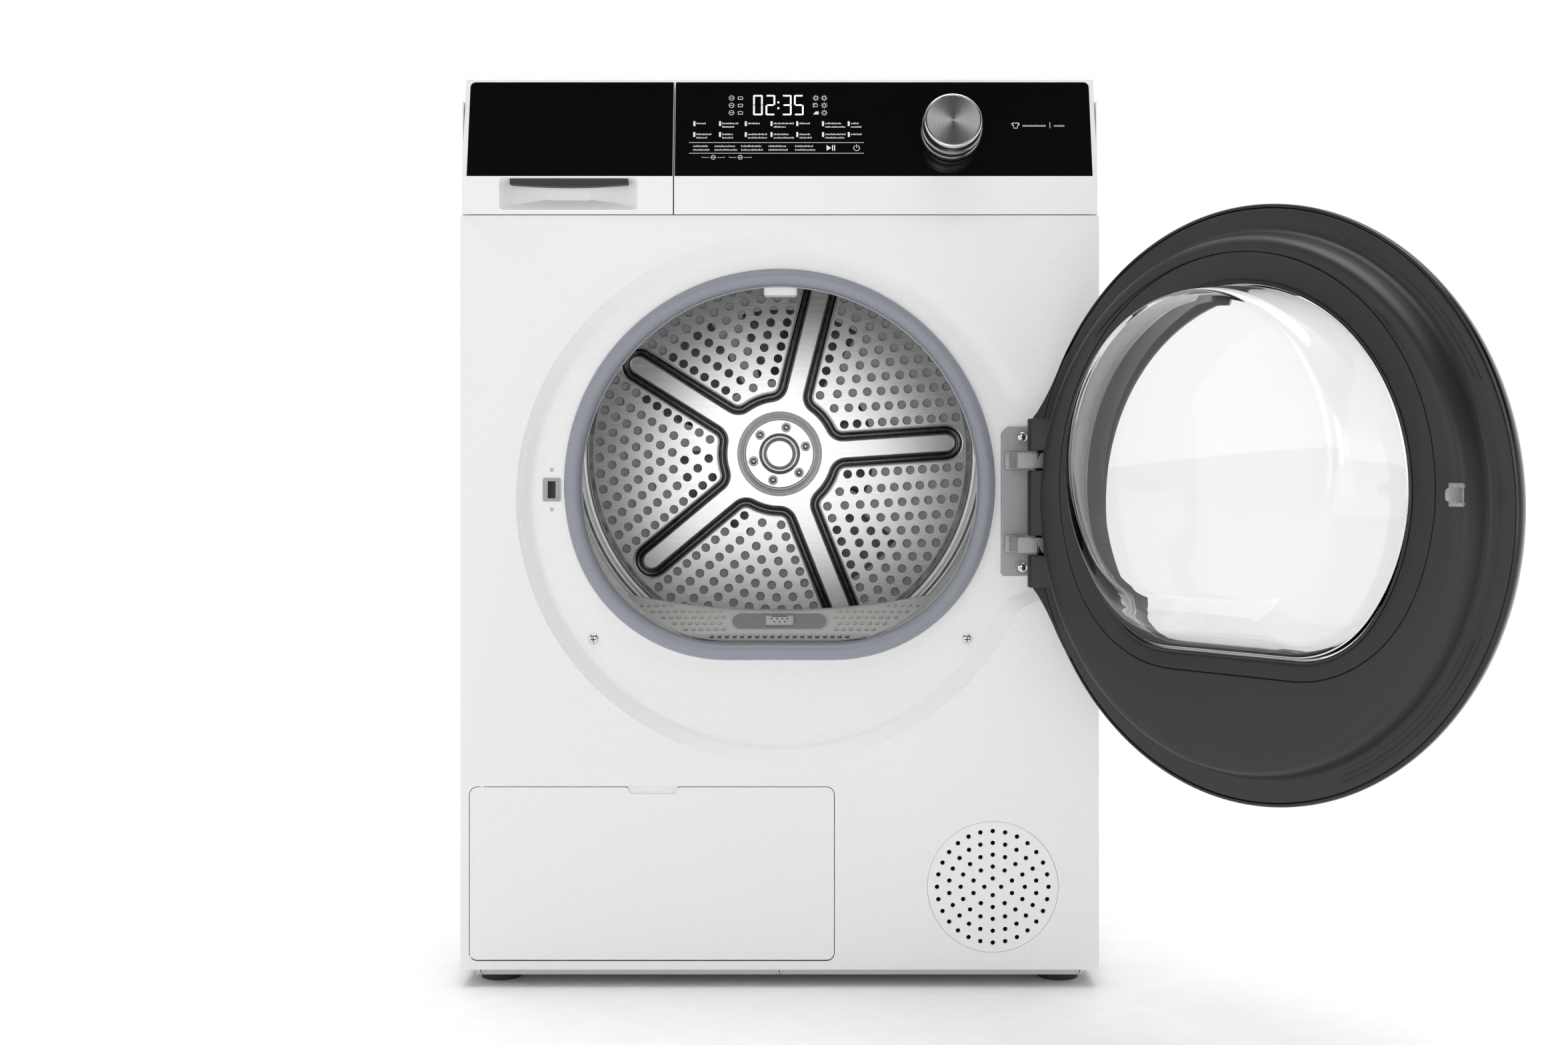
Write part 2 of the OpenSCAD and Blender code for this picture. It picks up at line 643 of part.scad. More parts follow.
module condensate_hose() color("#7b7f83")
    pipe([pump_at + [0, 0, 24.2], pump_at + [0, 0, 48], [hose_x, pump_at.y, 110], [hose_x, pump_at.y, 800],
        [hose_x, 493, 800]], 6);

module fan_shroud() color("#54575a") difference() {
    union() {
        upright(24, 52) translate([intake_x, intake_z]) difference() {
            union() {
                circle(59);
                translate([-20, 21 - intake_z]) square([40, 20]);
            }
            circle(55);
        }
        for (turn = [0 : 2]) translate([intake_x, 0, intake_z]) rotate([0, 120 * turn + 90, 0])
            block([10, 48, -4], [56, 52, 4]);
        bar_y(intake_x, intake_z, 16, 46, 52);
    }
    bar_y(intake_x, intake_z, 3 + running, 40, 60);
}

module cooling_fan() color("#2a2c2e") {
    bar_y(intake_x, intake_z, 18, 28, 45.5);
    bar_y(intake_x, intake_z, 3, 45.5, 52);
    for (i = [0 : 6]) translate([intake_x, 0, intake_z]) rotate([0, 360 / 7 * i, 0])
        translate([16, 36, 0]) rotate([35, 0, 0]) block([0, -1, -10], [35, 1, 10]);
}

module mains_inlet() color("#2a2b2d") difference() {
    union() {
        upright(rear_y + 1.5, rear_y + 9) translate(inlet) round_rect(50, 44, 4);
        upright(rear_y - 22, rear_y + 1.5) translate(inlet) round_rect(40, 34, 3);
    }
    bar_y(inlet.x, inlet.y, 5, rear_y - 30, rear_y + 20);
}

// Spigot for the optional drain hose.
module drain_spigot() color("#8a8d90") difference() {
    union() {
        bar_y(spigot.x, spigot.y, 6, rear_y - 20, rear_y + 1.5);
        bar_y(spigot.x, spigot.y, 11, rear_y + 1.5, rear_y + 4);
        bar_y(spigot.x, spigot.y, 5, rear_y + 4, rear_y + 22);
    }
    bar_y(spigot.x, spigot.y, 3.2, rear_y - 30, rear_y + 30);
}

// ---- door, drawn closed --------------------------------------------------------------

// Cuts room for the two hinge arms, which swing through the door's hinge side.
module arm_room(h) for (z = arm_z) {
    block([209, -33, z - h / 2], [262, 20, z + h / 2]);
    block([hinge_x - 7.2, -40, z - h / 2], [262, -32, z + h / 2]);
}

module door_inner_frame() color("#3c3d3f") swung() difference() {
    union() {
        difference() {
            turned(0, door_z) polygon([[240, -18], [224.4, -18], [222.6, -17], [216.5, 0], [213, 3], [209, 4],
                [196, 4], [189, 1.4], [100, -2], [100, -5], [189, -1.8], [196, 1], [208, 1], [211.4, 0],
                [213.7, -2], [219.8, -18], [221.8, -21], [240, -21]]);
            upright(-50, 10) translate([0, window_z]) d_window(166.5);
        }
        // tab with the barrel that turns on the pins
        difference() {
            union() {
                translate([hinge_x, -hinge_out, 374]) cylinder(r = 13, h = 165);
                block([212, -38, 374], [hinge_x, -18, 539]);
            }
            translate([hinge_x, -hinge_out, 370]) cylinder(r = pin_r + running, h = 180);
        }
    }
    arm_room(arm_h + 3);
}

module door_outer_ring() color("#141416") swung() difference() {
    turned(0, door_z) polygon([[243.5, -18], [door_r, -34], [240, -41], [232, -45.5], [215, -46],
        [182, -44.5], [175, -40.5], [172, -40.5], [172, -37.5], [180.4, -37.5], [184, -41.4], [215, -43],
        [231, -42.4], [237, -39], [240.3, -33], [240.3, -18]]);
    block([209, -40, 371], [262, 20, 542]);
}

module door_window() color("#dfe3e6", 0.35) swung() upright(-44, -41) translate([0, door_z]) circle(174.8);

// Bowl-shaped glass: parallel D outlines that shrink towards the drum.
module bowl_solid(wall) hull() for (level = [[163, -2], [157, 16], [147, 38], [128, 49]])
    upright(level.y - wall - 1, level.y - wall)
        translate([0, window_z + (163 - level.x) * 0.9]) d_window(level.x - wall, $fn = 48);
module door_glass_bowl() color("#e6eef0", 0.35) swung() difference() {
    bowl_solid(0);
    bowl_solid(4);
}

module door_latch_hook() color("#b3b5b7") swung() {
    block([hook_x - 1.25, 4.1, lock_z - 5.5], [hook_x + 1.25, 32, lock_z + 5.5]);
    block([hook_x - 6, 4.1, lock_z - 9], [hook_x + 8, 6, lock_z + 9]);
}

// ---- filter, flap, levers and feet ---------------------------------------------------

module lint_filter() color("#a9aaa6") {
    difference() {
        union() {
            // sloping face that fills the bottom of the opening
            intersection() {
                upright(27.5, 60) translate([0, mouth_z]) d_outline(gasket_r - gasket_w - 0.6);
                along_x(-150, 150) polygon([[27.5, 320.5], [27.5, 326], [54, 356], [58, 356], [58, 320.5]]);
            }
            block([-120.5, 30.5, 192], [120.5, 57.5, 320.5]);
        }
        // hollow between the two screens
        block([-117, 34, 196], [117, 54, 330]);
        // finger slot
        translate([0, 27, 335]) upright(0, 30) round_rect(84, 16, 6);
    }
}

module service_flap() color("#f4f4f4") {
    upright(0, 1.8) difference() {
        round_rect_at(flap_x0, flap_x1, flap_z0, flap_z1, 7);
        translate([-118, flap_z1]) round_rect(46, 12, 3);
    }
    for (x = [flap_x0 + 24.4, flap_x1 - 30.4]) {
        block([x, 1, flap_pin.y - 3], [x + 6, flap_pin.x + 3, flap_pin.y + 3]);
        translate([x, flap_pin.x, flap_pin.y]) rotate([0, 90, 0]) cylinder(r = 3, h = 6);
    }
    translate([flap_x0 + 18.5, flap_pin.x, flap_pin.y]) rotate([0, 90, 0]) cylinder(r = 1.5, h = 8);
    translate([flap_x1 - 26, flap_pin.x, flap_pin.y]) rotate([0, 90, 0]) cylinder(r = 1.5, h = 7.5);
}

module exchanger_cover() color("#8d9194") difference() {
    union() {
        upright(26, 30) round_rect_at(-268, -24, 44, 180, 8);
        upright(30, 45) round_rect_at(-262, -30, 48, 174, 6);
    }
    upright(33, 46) round_rect_at(-259, -33, 51, 171, 5);
    for (x = lever_x) bar_y(x, lever_z, 5 + running, 20, 50);
}

module cover_lever(x) color("#3b6fa8") {
    bar_y(x, lever_z, 5, 22, 36);
    bar_y(x, lever_z, 12, 18, 25.7);
    block([x - 4, 16, lever_z], [x + 4, 25.7, lever_z + 38]);
}
module cover_lever_left() cover_lever(lever_x[0]);
module cover_lever_right() cover_lever(lever_x[1]);

module foot(x, y) color("#26272a") translate([x, y, 0]) {
    cylinder(r = 19, h = 8, $fn = 48);
    cylinder(r = 5, h = 38);
}
module foot_front_left() foot(-foot_x, foot_y[0]);
module foot_front_right() foot(foot_x, foot_y[0]);
module foot_rear_left() foot(-foot_x, foot_y[1]);
module foot_rear_right() foot(foot_x, foot_y[1]);

base_module();
side_panel_left();
side_panel_right();
rear_panel();
rear_cover();
worktop();
front_panel();
front_screws();
air_intake_grille();
fascia();
control_glass();
control_board();
front_bulkhead();
door_gasket();
felt_seals();
drum_lamp();
door_lock();
hinge_bracket();
hinge_pins();
rear_air_duct();
process_air_duct();
motor_housing();
drive_belt();
compressor();
evaporator();
condenser();
refrigerant_pipes();
condensate_pump();
condensate_hose();
fan_shroud();
tank_tray();
mains_inlet();
drain_spigot();
exchanger_cover();
door_inner_frame();
door_outer_ring();
door_window();
door_glass_bowl();
door_latch_hook();
drum_shell();
drum_back();
drum_hub();
hub_screws();
drum_shaft();
motor_rotor();
process_impeller();
support_roller_left();
support_roller_right();
cooling_fan();
program_knob();
tank_drawer_front();
water_tank();
lint_filter();
service_flap();
cover_lever_left();
cover_lever_right();
foot_front_left();
foot_front_right();
foot_rear_left();
foot_rear_right();
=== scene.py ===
# %% [markdown]
# # A clothes dryer with its door open
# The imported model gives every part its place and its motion. This lesson adds the looks: softer,
# finer meshes for the parts that are seen, and a procedural material for each real finish. It
# starts by loading the frame, which is never moved or changed.
# %% Load the frame
import json
import math
import bmesh
import bpy
from mathutils import Matrix, Vector


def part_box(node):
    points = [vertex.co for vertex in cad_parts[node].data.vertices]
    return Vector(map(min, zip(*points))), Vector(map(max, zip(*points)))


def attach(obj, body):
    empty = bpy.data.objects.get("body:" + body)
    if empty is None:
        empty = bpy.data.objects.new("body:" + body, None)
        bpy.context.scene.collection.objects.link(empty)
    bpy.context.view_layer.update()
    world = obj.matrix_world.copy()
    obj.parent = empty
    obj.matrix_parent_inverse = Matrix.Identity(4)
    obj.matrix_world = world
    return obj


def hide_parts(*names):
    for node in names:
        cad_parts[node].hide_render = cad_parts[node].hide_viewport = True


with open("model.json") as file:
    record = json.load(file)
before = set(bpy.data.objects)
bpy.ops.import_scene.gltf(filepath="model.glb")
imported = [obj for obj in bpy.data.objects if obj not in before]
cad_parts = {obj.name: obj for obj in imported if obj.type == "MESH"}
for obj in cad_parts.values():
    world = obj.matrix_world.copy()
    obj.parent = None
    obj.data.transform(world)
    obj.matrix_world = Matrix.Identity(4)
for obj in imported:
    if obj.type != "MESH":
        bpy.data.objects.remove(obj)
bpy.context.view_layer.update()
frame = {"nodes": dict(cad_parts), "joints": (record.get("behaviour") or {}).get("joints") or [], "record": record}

# %% [markdown]
# The camera stands in front of the machine at the height of the drum, and looks straight ahead.
# A real product shot does the same and shifts the lens, so that upright edges stay upright.
# %% Camera
MM = 0.001                                    # lengths below are in millimetres


def add_camera(distance, height, lens, shift):
    """A camera in front of the cabinet's centre line, looking along +Y."""
    data = bpy.data.cameras.new("camera")
    data.lens = lens
    data.sensor_width = 36
    data.shift_x, data.shift_y = shift
    camera = bpy.data.objects.new("camera", data)
    camera.location = (0, -distance * MM, height * MM)
    camera.rotation_euler = (math.radians(90), 0, 0)
    bpy.context.scene.collection.objects.link(camera)
    bpy.context.scene.camera = camera
    return camera


camera = add_camera(1750, 479, 43.2, (0.0028, -0.0315))
print("camera at", tuple(camera.location))

# %% [markdown]
# White enamel on white needs soft light from large panels: one overhead, one on each side. Darker
# gaps between them are what chrome and glass need to show their shape. The floor is a wide pale
# sheet under the feet.
# %% Light and floor


def add_panel_light(name, place, aim, size, power):
    """A rectangular soft light at a place, aimed at a point."""
    data = bpy.data.lights.new(name, "AREA")
    data.shape = "RECTANGLE"
    data.size, data.size_y = size
    data.energy = power
    light = bpy.data.objects.new(name, data)
    light.location = place
    light.rotation_euler = (Vector(aim) - Vector(place)).to_track_quat("-Z", "Y").to_euler()
    bpy.context.scene.collection.objects.link(light)
    return light


def add_studio():
    """A room that is white behind the machine and banded in front of it, with soft panel lights."""
    world = bpy.data.worlds.new("studio")
    bpy.context.scene.world = world
    world.use_nodes = True
    tree = world.node_tree
    where = tree.nodes.new("ShaderNodeTexCoord")
    parts = tree.nodes.new("ShaderNodeSeparateXYZ")
    tree.links.new(where.outputs["Generated"], parts.inputs["Vector"])
    bands = tree.nodes.new("ShaderNodeValToRGB")         # brightness by height, in front
    ramp = bands.color_ramp
    ramp.elements[0].position, ramp.elements[0].color = 0.2, (0.45, 0.45, 0.45, 1)
    ramp.elements[1].position, ramp.elements[1].color = 1.0, (0.95, 0.95, 0.95, 1)
    for position, grey in ((0.5, 0.92), (0.62, 0.8), (0.72, 0.1), (0.86, 0.06), (0.93, 0.6)):
        ramp.elements.new(position).color = (grey, grey, grey, 1)
    height = tree.nodes.new("ShaderNodeMapRange")
    height.inputs["From Min"].default_value = -1
    tree.links.new(parts.outputs["Z"], height.inputs["Value"])
    tree.links.new(height.outputs["Result"], bands.inputs["Fac"])
    behind = tree.nodes.new("ShaderNodeMapRange")        # 1 behind the machine, 0 in front
    behind.inputs["From Min"].default_value = -0.1
    behind.inputs["From Max"].default_value = 0.3
    tree.links.new(parts.outputs["Y"], behind.inputs["Value"])
    room = tree.nodes.new("ShaderNodeMix")
    room.data_type = "RGBA"
    room.inputs[7].default_value = (1, 1, 1, 1)
    tree.links.new(behind.outputs["Result"], room.inputs["Factor"])
    tree.links.new(bands.outputs["Color"], room.inputs[6])
    tree.links.new(room.outputs[2], tree.nodes["Background"].inputs["Color"])
    tree.nodes["Background"].inputs["Strength"].default_value = 1.0
    sky = bpy.data.lights.new("overhead", "SUN")         # an even ceiling of light: the floor stays white
    sky.energy = 1.5
    sky.angle = math.radians(50)
    bpy.context.scene.collection.objects.link(bpy.data.objects.new("overhead", sky))
    add_panel_light("left_panel", (-2.6, -1.6, 1.3), (0, 0, 0.45), (0.9, 2.2), 7)
    add_panel_light("right_panel", (2.8, -1.0, 1.2), (0.2, 0, 0.45), (0.8, 2.0), 4)
    glints = add_panel_light("into_drum", (0.1, -2.5, 0.62), (0, 0.5, 0.47), (1.7, 1.3), 3)
    glints.visible_diffuse = False                       # only polished metal and glass pick it up
    add_panel_light("drum_fill", (-0.2, -2.6, 0.9), (0, 0.5, 0.5), (0.8, 0.8), 3)
    bpy.context.scene.view_settings.view_transform = "Standard"
    bm = bmesh.new()
    bmesh.ops.create_grid(bm, x_segments=1, y_segments=1, size=9)
    mesh = bpy.data.meshes.new("floor")
    bm.to_mesh(mesh)
    bm.free()
    floor = bpy.data.objects.new("floor", mesh)
    bpy.context.scene.collection.objects.link(floor)
    return floor


floor = add_studio()

# %% [markdown]
# ## Tools for shapes
# Most parts of a white-goods cabinet are one of three things: a pressed sheet with holes, a turned
# or swept profile, or a moulded block with rounded edges. One helper makes each. All take
# millimetres in the frame's own axes, and each gives a bmesh, so pieces can be joined before they
# become objects.
# %% Outlines


def arc(cx, cz, r, start, end, steps):
    """Points along an arc, from one angle to another in degrees."""
    angles = [math.radians(start + (end - start) * i / steps) for i in range(steps + 1)]
    return [(cx + r * math.cos(a), cz + r * math.sin(a)) for a in angles]


def ring_outline(cx, cz, r, steps=96):
    return arc(cx, cz, r, 0, 360, steps)[:-1]


def rect_outline(x0, x1, z0, z1, r, steps=6):
    """A rectangle with round corners, counter-clockwise."""
    corners = ((x1 - r, z1 - r, 0), (x0 + r, z1 - r, 90), (x0 + r, z0 + r, 180), (x1 - r, z0 + r, 270))
    return [p for cx, cz, a in corners for p in arc(cx, cz, r, a, a + 90, steps)]


def d_outline(cz, r, drop, corner, steps=64):
    """A circle with a flat bottom and corner arcs, as the loading opening has."""
    cx = math.sqrt((r - corner) ** 2 - (drop - corner) ** 2)
    touch = math.degrees(math.atan2(corner - drop, cx))
    right = arc(cx, cz + corner - drop, corner, -90, touch, steps // 4)
    top = arc(0, cz, r, touch, 180 - touch, steps * 2)[1:-1]
    left = [(-x, z) for x, z in reversed(right)]
    return right + top + left


# %% Bmesh helpers


def add_loop(bm, outline, y):
    """A closed loop of edges at depth y, or at each point's own depth."""
    depths = y if isinstance(y, (list, tuple)) else [y] * len(outline)
    verts = [bm.verts.new((x, d, z)) for (x, z), d in zip(outline, depths)]
    return [bm.edges.new((verts[i], verts[(i + 1) % len(verts)])) for i in range(len(verts))]


def skin(rings):
    """Bridges a row of loops, each an (outline, depth) pair, into one skin."""
    bm = bmesh.new()
    loops = [add_loop(bm, outline, y) for outline, y in rings]
    for a, b in zip(loops, loops[1:]):
        bmesh.ops.bridge_loops(bm, edges=a + b)
    bmesh.ops.recalc_face_normals(bm, faces=bm.faces)
    return bm


def plate(outlines, y0, y1):
    """A flat plate with holes: the first outline is its edge, the others are its holes."""
    bm = bmesh.new()
    edges = [e for outline in outlines for e in add_loop(bm, outline, y1)]
    bmesh.ops.triangle_fill(bm, use_beauty=True, edges=edges)
    if y0 != y1:
        grown = bmesh.ops.extrude_face_region(bm, geom=bm.faces[:], use_keep_orig=True)
        front = [g for g in grown["geom"] if isinstance(g, bmesh.types.BMVert)]
        bmesh.ops.translate(bm, vec=(0, y0 - y1, 0), verts=front)
        bmesh.ops.recalc_face_normals(bm, faces=bm.faces)
    return bm


def turned(profile, cx, cz, steps=128):
    """Spins an open or closed profile of (radius, depth) points about an axis along Y."""
    bm = bmesh.new()
    verts = [bm.verts.new((cx + r, y, cz)) for r, y in profile]
    edges = [bm.edges.new(pair) for pair in zip(verts, verts[1:])]
    bmesh.ops.spin(bm, geom=verts + edges, cent=(cx, 0, cz), axis=(0, 1, 0), angle=math.tau,
                   steps=steps, use_merge=True)
    bmesh.ops.remove_doubles(bm, verts=bm.verts, dist=0.001)
    bmesh.ops.recalc_face_normals(bm, faces=bm.faces)
    return bm


def block(a, b, bevel=0.0, segments=2):
    """A box between two corners, with its edges rounded."""
    bm = bmesh.new()
    bmesh.ops.create_cube(bm, size=1)
    size = [q - p for p, q in zip(a, b)]
    middle = [(p + q) / 2 for p, q in zip(a, b)]
    bmesh.ops.scale(bm, vec=size, verts=bm.verts)
    bmesh.ops.translate(bm, vec=middle, verts=bm.verts)
    if bevel:
        bmesh.ops.bevel(bm, geom=bm.edges[:], offset=bevel, offset_type="OFFSET", segments=segments,
                        profile=0.5, material=-1, affect="EDGES")
    return bm


def rounded(bm, bevel, segments):
    """Rounds the sharp edges of a prism, if there is a bevel to give them."""
    if bevel:
        edges = [e for e in bm.edges if e.is_manifold and e.calc_face_angle(0) > 0.5]
        bmesh.ops.bevel(bm, geom=edges, offset=bevel, offset_type="OFFSET", segments=segments,
                        profile=0.5, material=-1, affect="EDGES")
    return bm


def moved(bm, matrix):
    """Carries a bmesh by a matrix and gives it back."""
    bmesh.ops.transform(bm, matrix=matrix, verts=bm.verts)
    return bm


def joined(*parts):
    """One bmesh from several."""
    whole = bmesh.new()
    for part in parts:
        mesh = bpy.data.meshes.new("part")
        part.to_mesh(mesh)
        part.free()
        whole.from_mesh(mesh)
        bpy.data.meshes.remove(mesh)
    return whole


def make_piece(name, bm, material, body, replaces=(), sharp=38, place=None, bevel=0):
    """Turns a bmesh into a finished piece that rides on a body."""
    bmesh.ops.remove_doubles(bm, verts=bm.verts, dist=0.0005)
    bmesh.ops.recalc_face_normals(bm, faces=bm.faces)
    if place is not None:
        bmesh.ops.transform(bm, matrix=place, verts=bm.verts)
    bmesh.ops.scale(bm, vec=(MM, MM, MM), verts=bm.verts)
    mesh = bpy.data.meshes.new(name)
    bm.to_mesh(mesh)
    bm.free()
    mesh.shade_smooth()
    mesh.set_sharp_from_angle(angle=math.radians(sharp))
    mesh.materials.append(material)
    piece = bpy.data.objects.new(name, mesh)
    bpy.context.scene.collection.objects.link(piece)
    if bevel:
        edge = piece.modifiers.new("edge", "BEVEL")
        edge.width = bevel * MM
        edge.segments = 2
        edge.limit_method = "ANGLE"
        edge.angle_limit = math.radians(sharp)
    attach(piece, body)
    if replaces:
        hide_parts(*replaces)
    return piece


# %% [markdown]
# ## Materials
# Each finish is named for what it is made of. Colours are written as sRGB hex, the way a colour
# card gives them, and turned to linear light once. Patterns read Object coordinates, and their
# scale comes from the real size of the grain.
# %% Colour and node helpers


def linear(hex_colour):
    """An sRGB hex colour as linear red, green, blue and alpha."""
    parts = [int(hex_colour[i:i + 2], 16) / 255 for i in (0, 2, 4)]
    return [c / 12.92 if c <= 0.04045 else ((c + 0.055) / 1.055) ** 2.4 for c in parts] + [1.0]


def add_node(tree, kind, links=None, inputs=None, **settings):
    """Adds a node, sets it up, and links its inputs from (node, output) pairs."""
    node = tree.nodes.new(kind)
    for key, value in settings.items():
        setattr(node, key, value)
    for key, value in (inputs or {}).items():
        node.inputs[key].default_value = value
    for key, (source, output) in (links or {}).items():
        tree.links.new(source.outputs[output], node.inputs[key])
    return node


def start_material(name, colour, roughness, metallic=0.0, **more):
    """A material with its shader set, and its tree, shader and Object coordinates to build on."""
    material = bpy.data.materials.new(name)
    material.use_nodes = True
    tree = material.node_tree
    shader = tree.nodes["Principled BSDF"]
    shader.inputs["Base Color"].default_value = linear(colour)
    shader.inputs["Roughness"].default_value = roughness
    shader.inputs["Metallic"].default_value = metallic
    for key, value in more.items():
        shader.inputs[key.replace("_", " ")].default_value = value
    where = add_node(tree, "ShaderNodeTexCoord")
    return material, tree, shader, where


def grain(tree, shader, where, size, height, stretch=(1, 1, 1), detail=3.0):
    """Fine relief: noise of the given grain size and height in millimetres, as bump."""
    place = add_node(tree, "ShaderNodeMapping", {"Vector": (where, "Object")}, {"Scale": stretch})
    noise = add_node(tree, "ShaderNodeTexNoise", {"Vector": (place, "Vector")},
                     {"Scale": 1 / (size * MM), "Detail": detail, "Roughness": 0.55})
    bump = add_node(tree, "ShaderNodeBump", {"Height": (noise, "Fac")},
                    {"Strength": 1.0, "Distance": height * MM})
    tree.links.new(bump.outputs["Normal"], shader.inputs["Normal"])
    return noise


def vary(tree, shader, source, output, socket, low, high):
    """Spreads a pattern over a shader number, between two values."""
    spread = add_node(tree, "ShaderNodeMapRange", {"Value": (source, output)},
                      {"From Min": 0.3, "From Max": 0.7, "To Min": low, "To Max": high})
    tree.links.new(spread.outputs["Result"], shader.inputs[socket])


def tint(tree, shader, source, output, low, high, start=0.3, end=0.7):
    """Spreads a pattern over the base colour, between two hex colours."""
    ramp = add_node(tree, "ShaderNodeValToRGB", {"Fac": (source, output)})
    ramp.color_ramp.elements[0].position = start
    ramp.color_ramp.elements[1].position = end
    ramp.color_ramp.elements[0].color = linear(low)
    ramp.color_ramp.elements[1].color = linear(high)
    tree.links.new(ramp.outputs["Color"], shader.inputs["Base Color"])


# %% White finishes


def powder_coat():
    """Powder-coated steel: a soft sheen broken by orange peel about 3 mm across."""
    material, tree, shader, where = start_material("powder_coated_steel", "f6f6f6", 0.38)
    noise = grain(tree, shader, where, 3.2, 0.022)
    vary(tree, shader, noise, "Fac", "Roughness", 0.34, 0.42)
    tint(tree, shader, noise, "Fac", "f4f4f5", "f8f8f8")
    return material


def white_abs():
    """Injection-moulded ABS: whiter and smoother than the enamel, with a fine mould texture."""
    material, tree, shader, where = start_material("white_moulded_abs", "f7f7f7", 0.3)
    noise = grain(tree, shader, where, 0.9, 0.006)
    vary(tree, shader, noise, "Fac", "Roughness", 0.27, 0.34)
    tint(tree, shader, noise, "Fac", "f5f5f6", "f9f9f9")
    return material


def melamine_top():
    """Melamine-faced worktop: a faint pebbled texture, 1.5 mm across."""
    material, tree, shader, where = start_material("melamine_worktop", "f3f3f3", 0.42)
    noise = grain(tree, shader, where, 1.5, 0.02)
    tint(tree, shader, noise, "Fac", "f0f0f0", "f5f5f5")
    return material


# %% Black, grey and rubber finishes


def black_glass():
    """Back-painted glass: deep black under a clear, mirror-smooth coat."""
    material, tree, shader, where = start_material("back_painted_glass", "030304", 0.08)
    noise = grain(tree, shader, where, 60, 0.02, detail=1.0)
    vary(tree, shader, noise, "Fac", "Roughness", 0.06, 0.12)
    return material


def piano_black():
    """Piano-black ABS: a high-gloss moulding with the slight waviness of its tool."""
    material, tree, shader, where = start_material("piano_black_abs", "0c0c0d", 0.12)
    noise = grain(tree, shader, where, 25, 0.02, detail=1.0)
    vary(tree, shader, noise, "Fac", "Roughness", 0.1, 0.16)
    return material


def satin_door_plastic():
    """Spark-eroded dark grey ABS: an even satin with a fine leather-like grain."""
    material, tree, shader, where = start_material("satin_dark_abs", "202021", 0.45)
    noise = grain(tree, shader, where, 0.8, 0.012)
    vary(tree, shader, noise, "Fac", "Roughness", 0.38, 0.48)
    tint(tree, shader, noise, "Fac", "1d1d1e", "242425")
    return material


def bulb_seal():
    """Extruded EPDM: matt blue-grey rubber with a soft bloom."""
    material, tree, shader, where = start_material("epdm_bulb_seal", "9496a0", 0.42)
    noise = grain(tree, shader, where, 1.4, 0.01)
    tint(tree, shader, noise, "Fac", "8f919b", "999ba5")
    return material


def black_rubber():
    """Moulded rubber: dark, matt and slightly dusty."""
    material, tree, shader, where = start_material("moulded_rubber", "262729", 0.7)
    noise = grain(tree, shader, where, 1.0, 0.02)
    tint(tree, shader, noise, "Fac", "1f2022", "303134")
    return material


def moulded_plastic(name, low, high, roughness=0.5, size=1.1):
    """Plain moulded plastic of inner parts, with a fine grain and slight flow marks."""
    material, tree, shader, where = start_material(name, low, roughness)
    noise = grain(tree, shader, where, size, 0.015)
    tint(tree, shader, noise, "Fac", low, high)
    return material


# %% Metals


def brushed_stainless():
    """Stainless sheet brushed from side to side: long scratches 0.35 mm wide."""
    material, tree, shader, where = start_material("brushed_stainless", "e2e3e4", 0.3, 1.0)
    noise = grain(tree, shader, where, 9.0, 0.0010, stretch=(0.3, 26, 26), detail=2.0)
    vary(tree, shader, noise, "Fac", "Roughness", 0.26, 0.34)
    tint(tree, shader, noise, "Fac", "dfe0e1", "e6e7e8")
    return material


def rolled_stainless():
    """The drum's wall: bright rolled sheet with marks that run round the drum."""
    material, tree, shader, where = start_material("rolled_stainless", "d2d3d3", 0.2, 1.0)
    noise = grain(tree, shader, where, 12.0, 0.004, stretch=(1, 40, 1), detail=2.0)
    vary(tree, shader, noise, "Fac", "Roughness", 0.14, 0.26)
    tint(tree, shader, noise, "Fac", "c9cac9", "dcdddc")
    return material


def groove_painted_shade():
    """The deep-drawn groove: the same steel, its colour darkened as painted shade in the groove, with sharp
    highlights.
    """
    material, tree, shader, where = start_material("stainless_painted_groove_shade", "66635f", 0.3, 1.0)
    noise = grain(tree, shader, where, 6.0, 0.004)
    vary(tree, shader, noise, "Fac", "Roughness", 0.16, 0.26)
    tint(tree, shader, noise, "Fac", "5a5753", "716e6a")
    return material


def cast_zinc():
    """Die-cast zinc: mid grey with a sandy sparkle about 0.7 mm across."""
    material, tree, shader, where = start_material("die_cast_zinc", "9fa0a2", 0.5, 0.6)
    noise = grain(tree, shader, where, 0.7, 0.04, detail=4.0)
    vary(tree, shader, noise, "Fac", "Roughness", 0.42, 0.6)
    tint(tree, shader, noise, "Fac", "8a8b8d", "b5b6b8")
    return material


def plated_steel():
    """Bright nickel-plated steel of screws and pins."""
    material, tree, shader, where = start_material("nickel_plated_steel", "cfd0d1", 0.2, 1.0)
    noise = grain(tree, shader, where, 2.0, 0.004)
    vary(tree, shader, noise, "Fac", "Roughness", 0.15, 0.28)
    return material


def galvanised_sheet():
    """Galvanised steel: a faint spangle of crystals about 9 mm across."""
    material, tree, shader, where = start_material("galvanised_sheet", "c2c5c7", 0.42, 0.9)
    cells = add_node(tree, "ShaderNodeTexVoronoi", {"Vector": (where, "Object")},
                     {"Scale": 1 / (9 * MM)})
    tint(tree, shader, cells, "Distance", "b3b6b9", "d0d3d5", 0.1, 0.8)
    vary(tree, shader, cells, "Distance", "Roughness", 0.36, 0.5)
    return material


def copper_tube():
    """Drawn copper with a light brown tarnish."""
    material, tree, shader, where = start_material("drawn_copper", "c08055", 0.3, 1.0)
    noise = grain(tree, shader, where, 14, 0.01)
    tint(tree, shader, noise, "Fac", "a0623a", "cf9068")
    return material


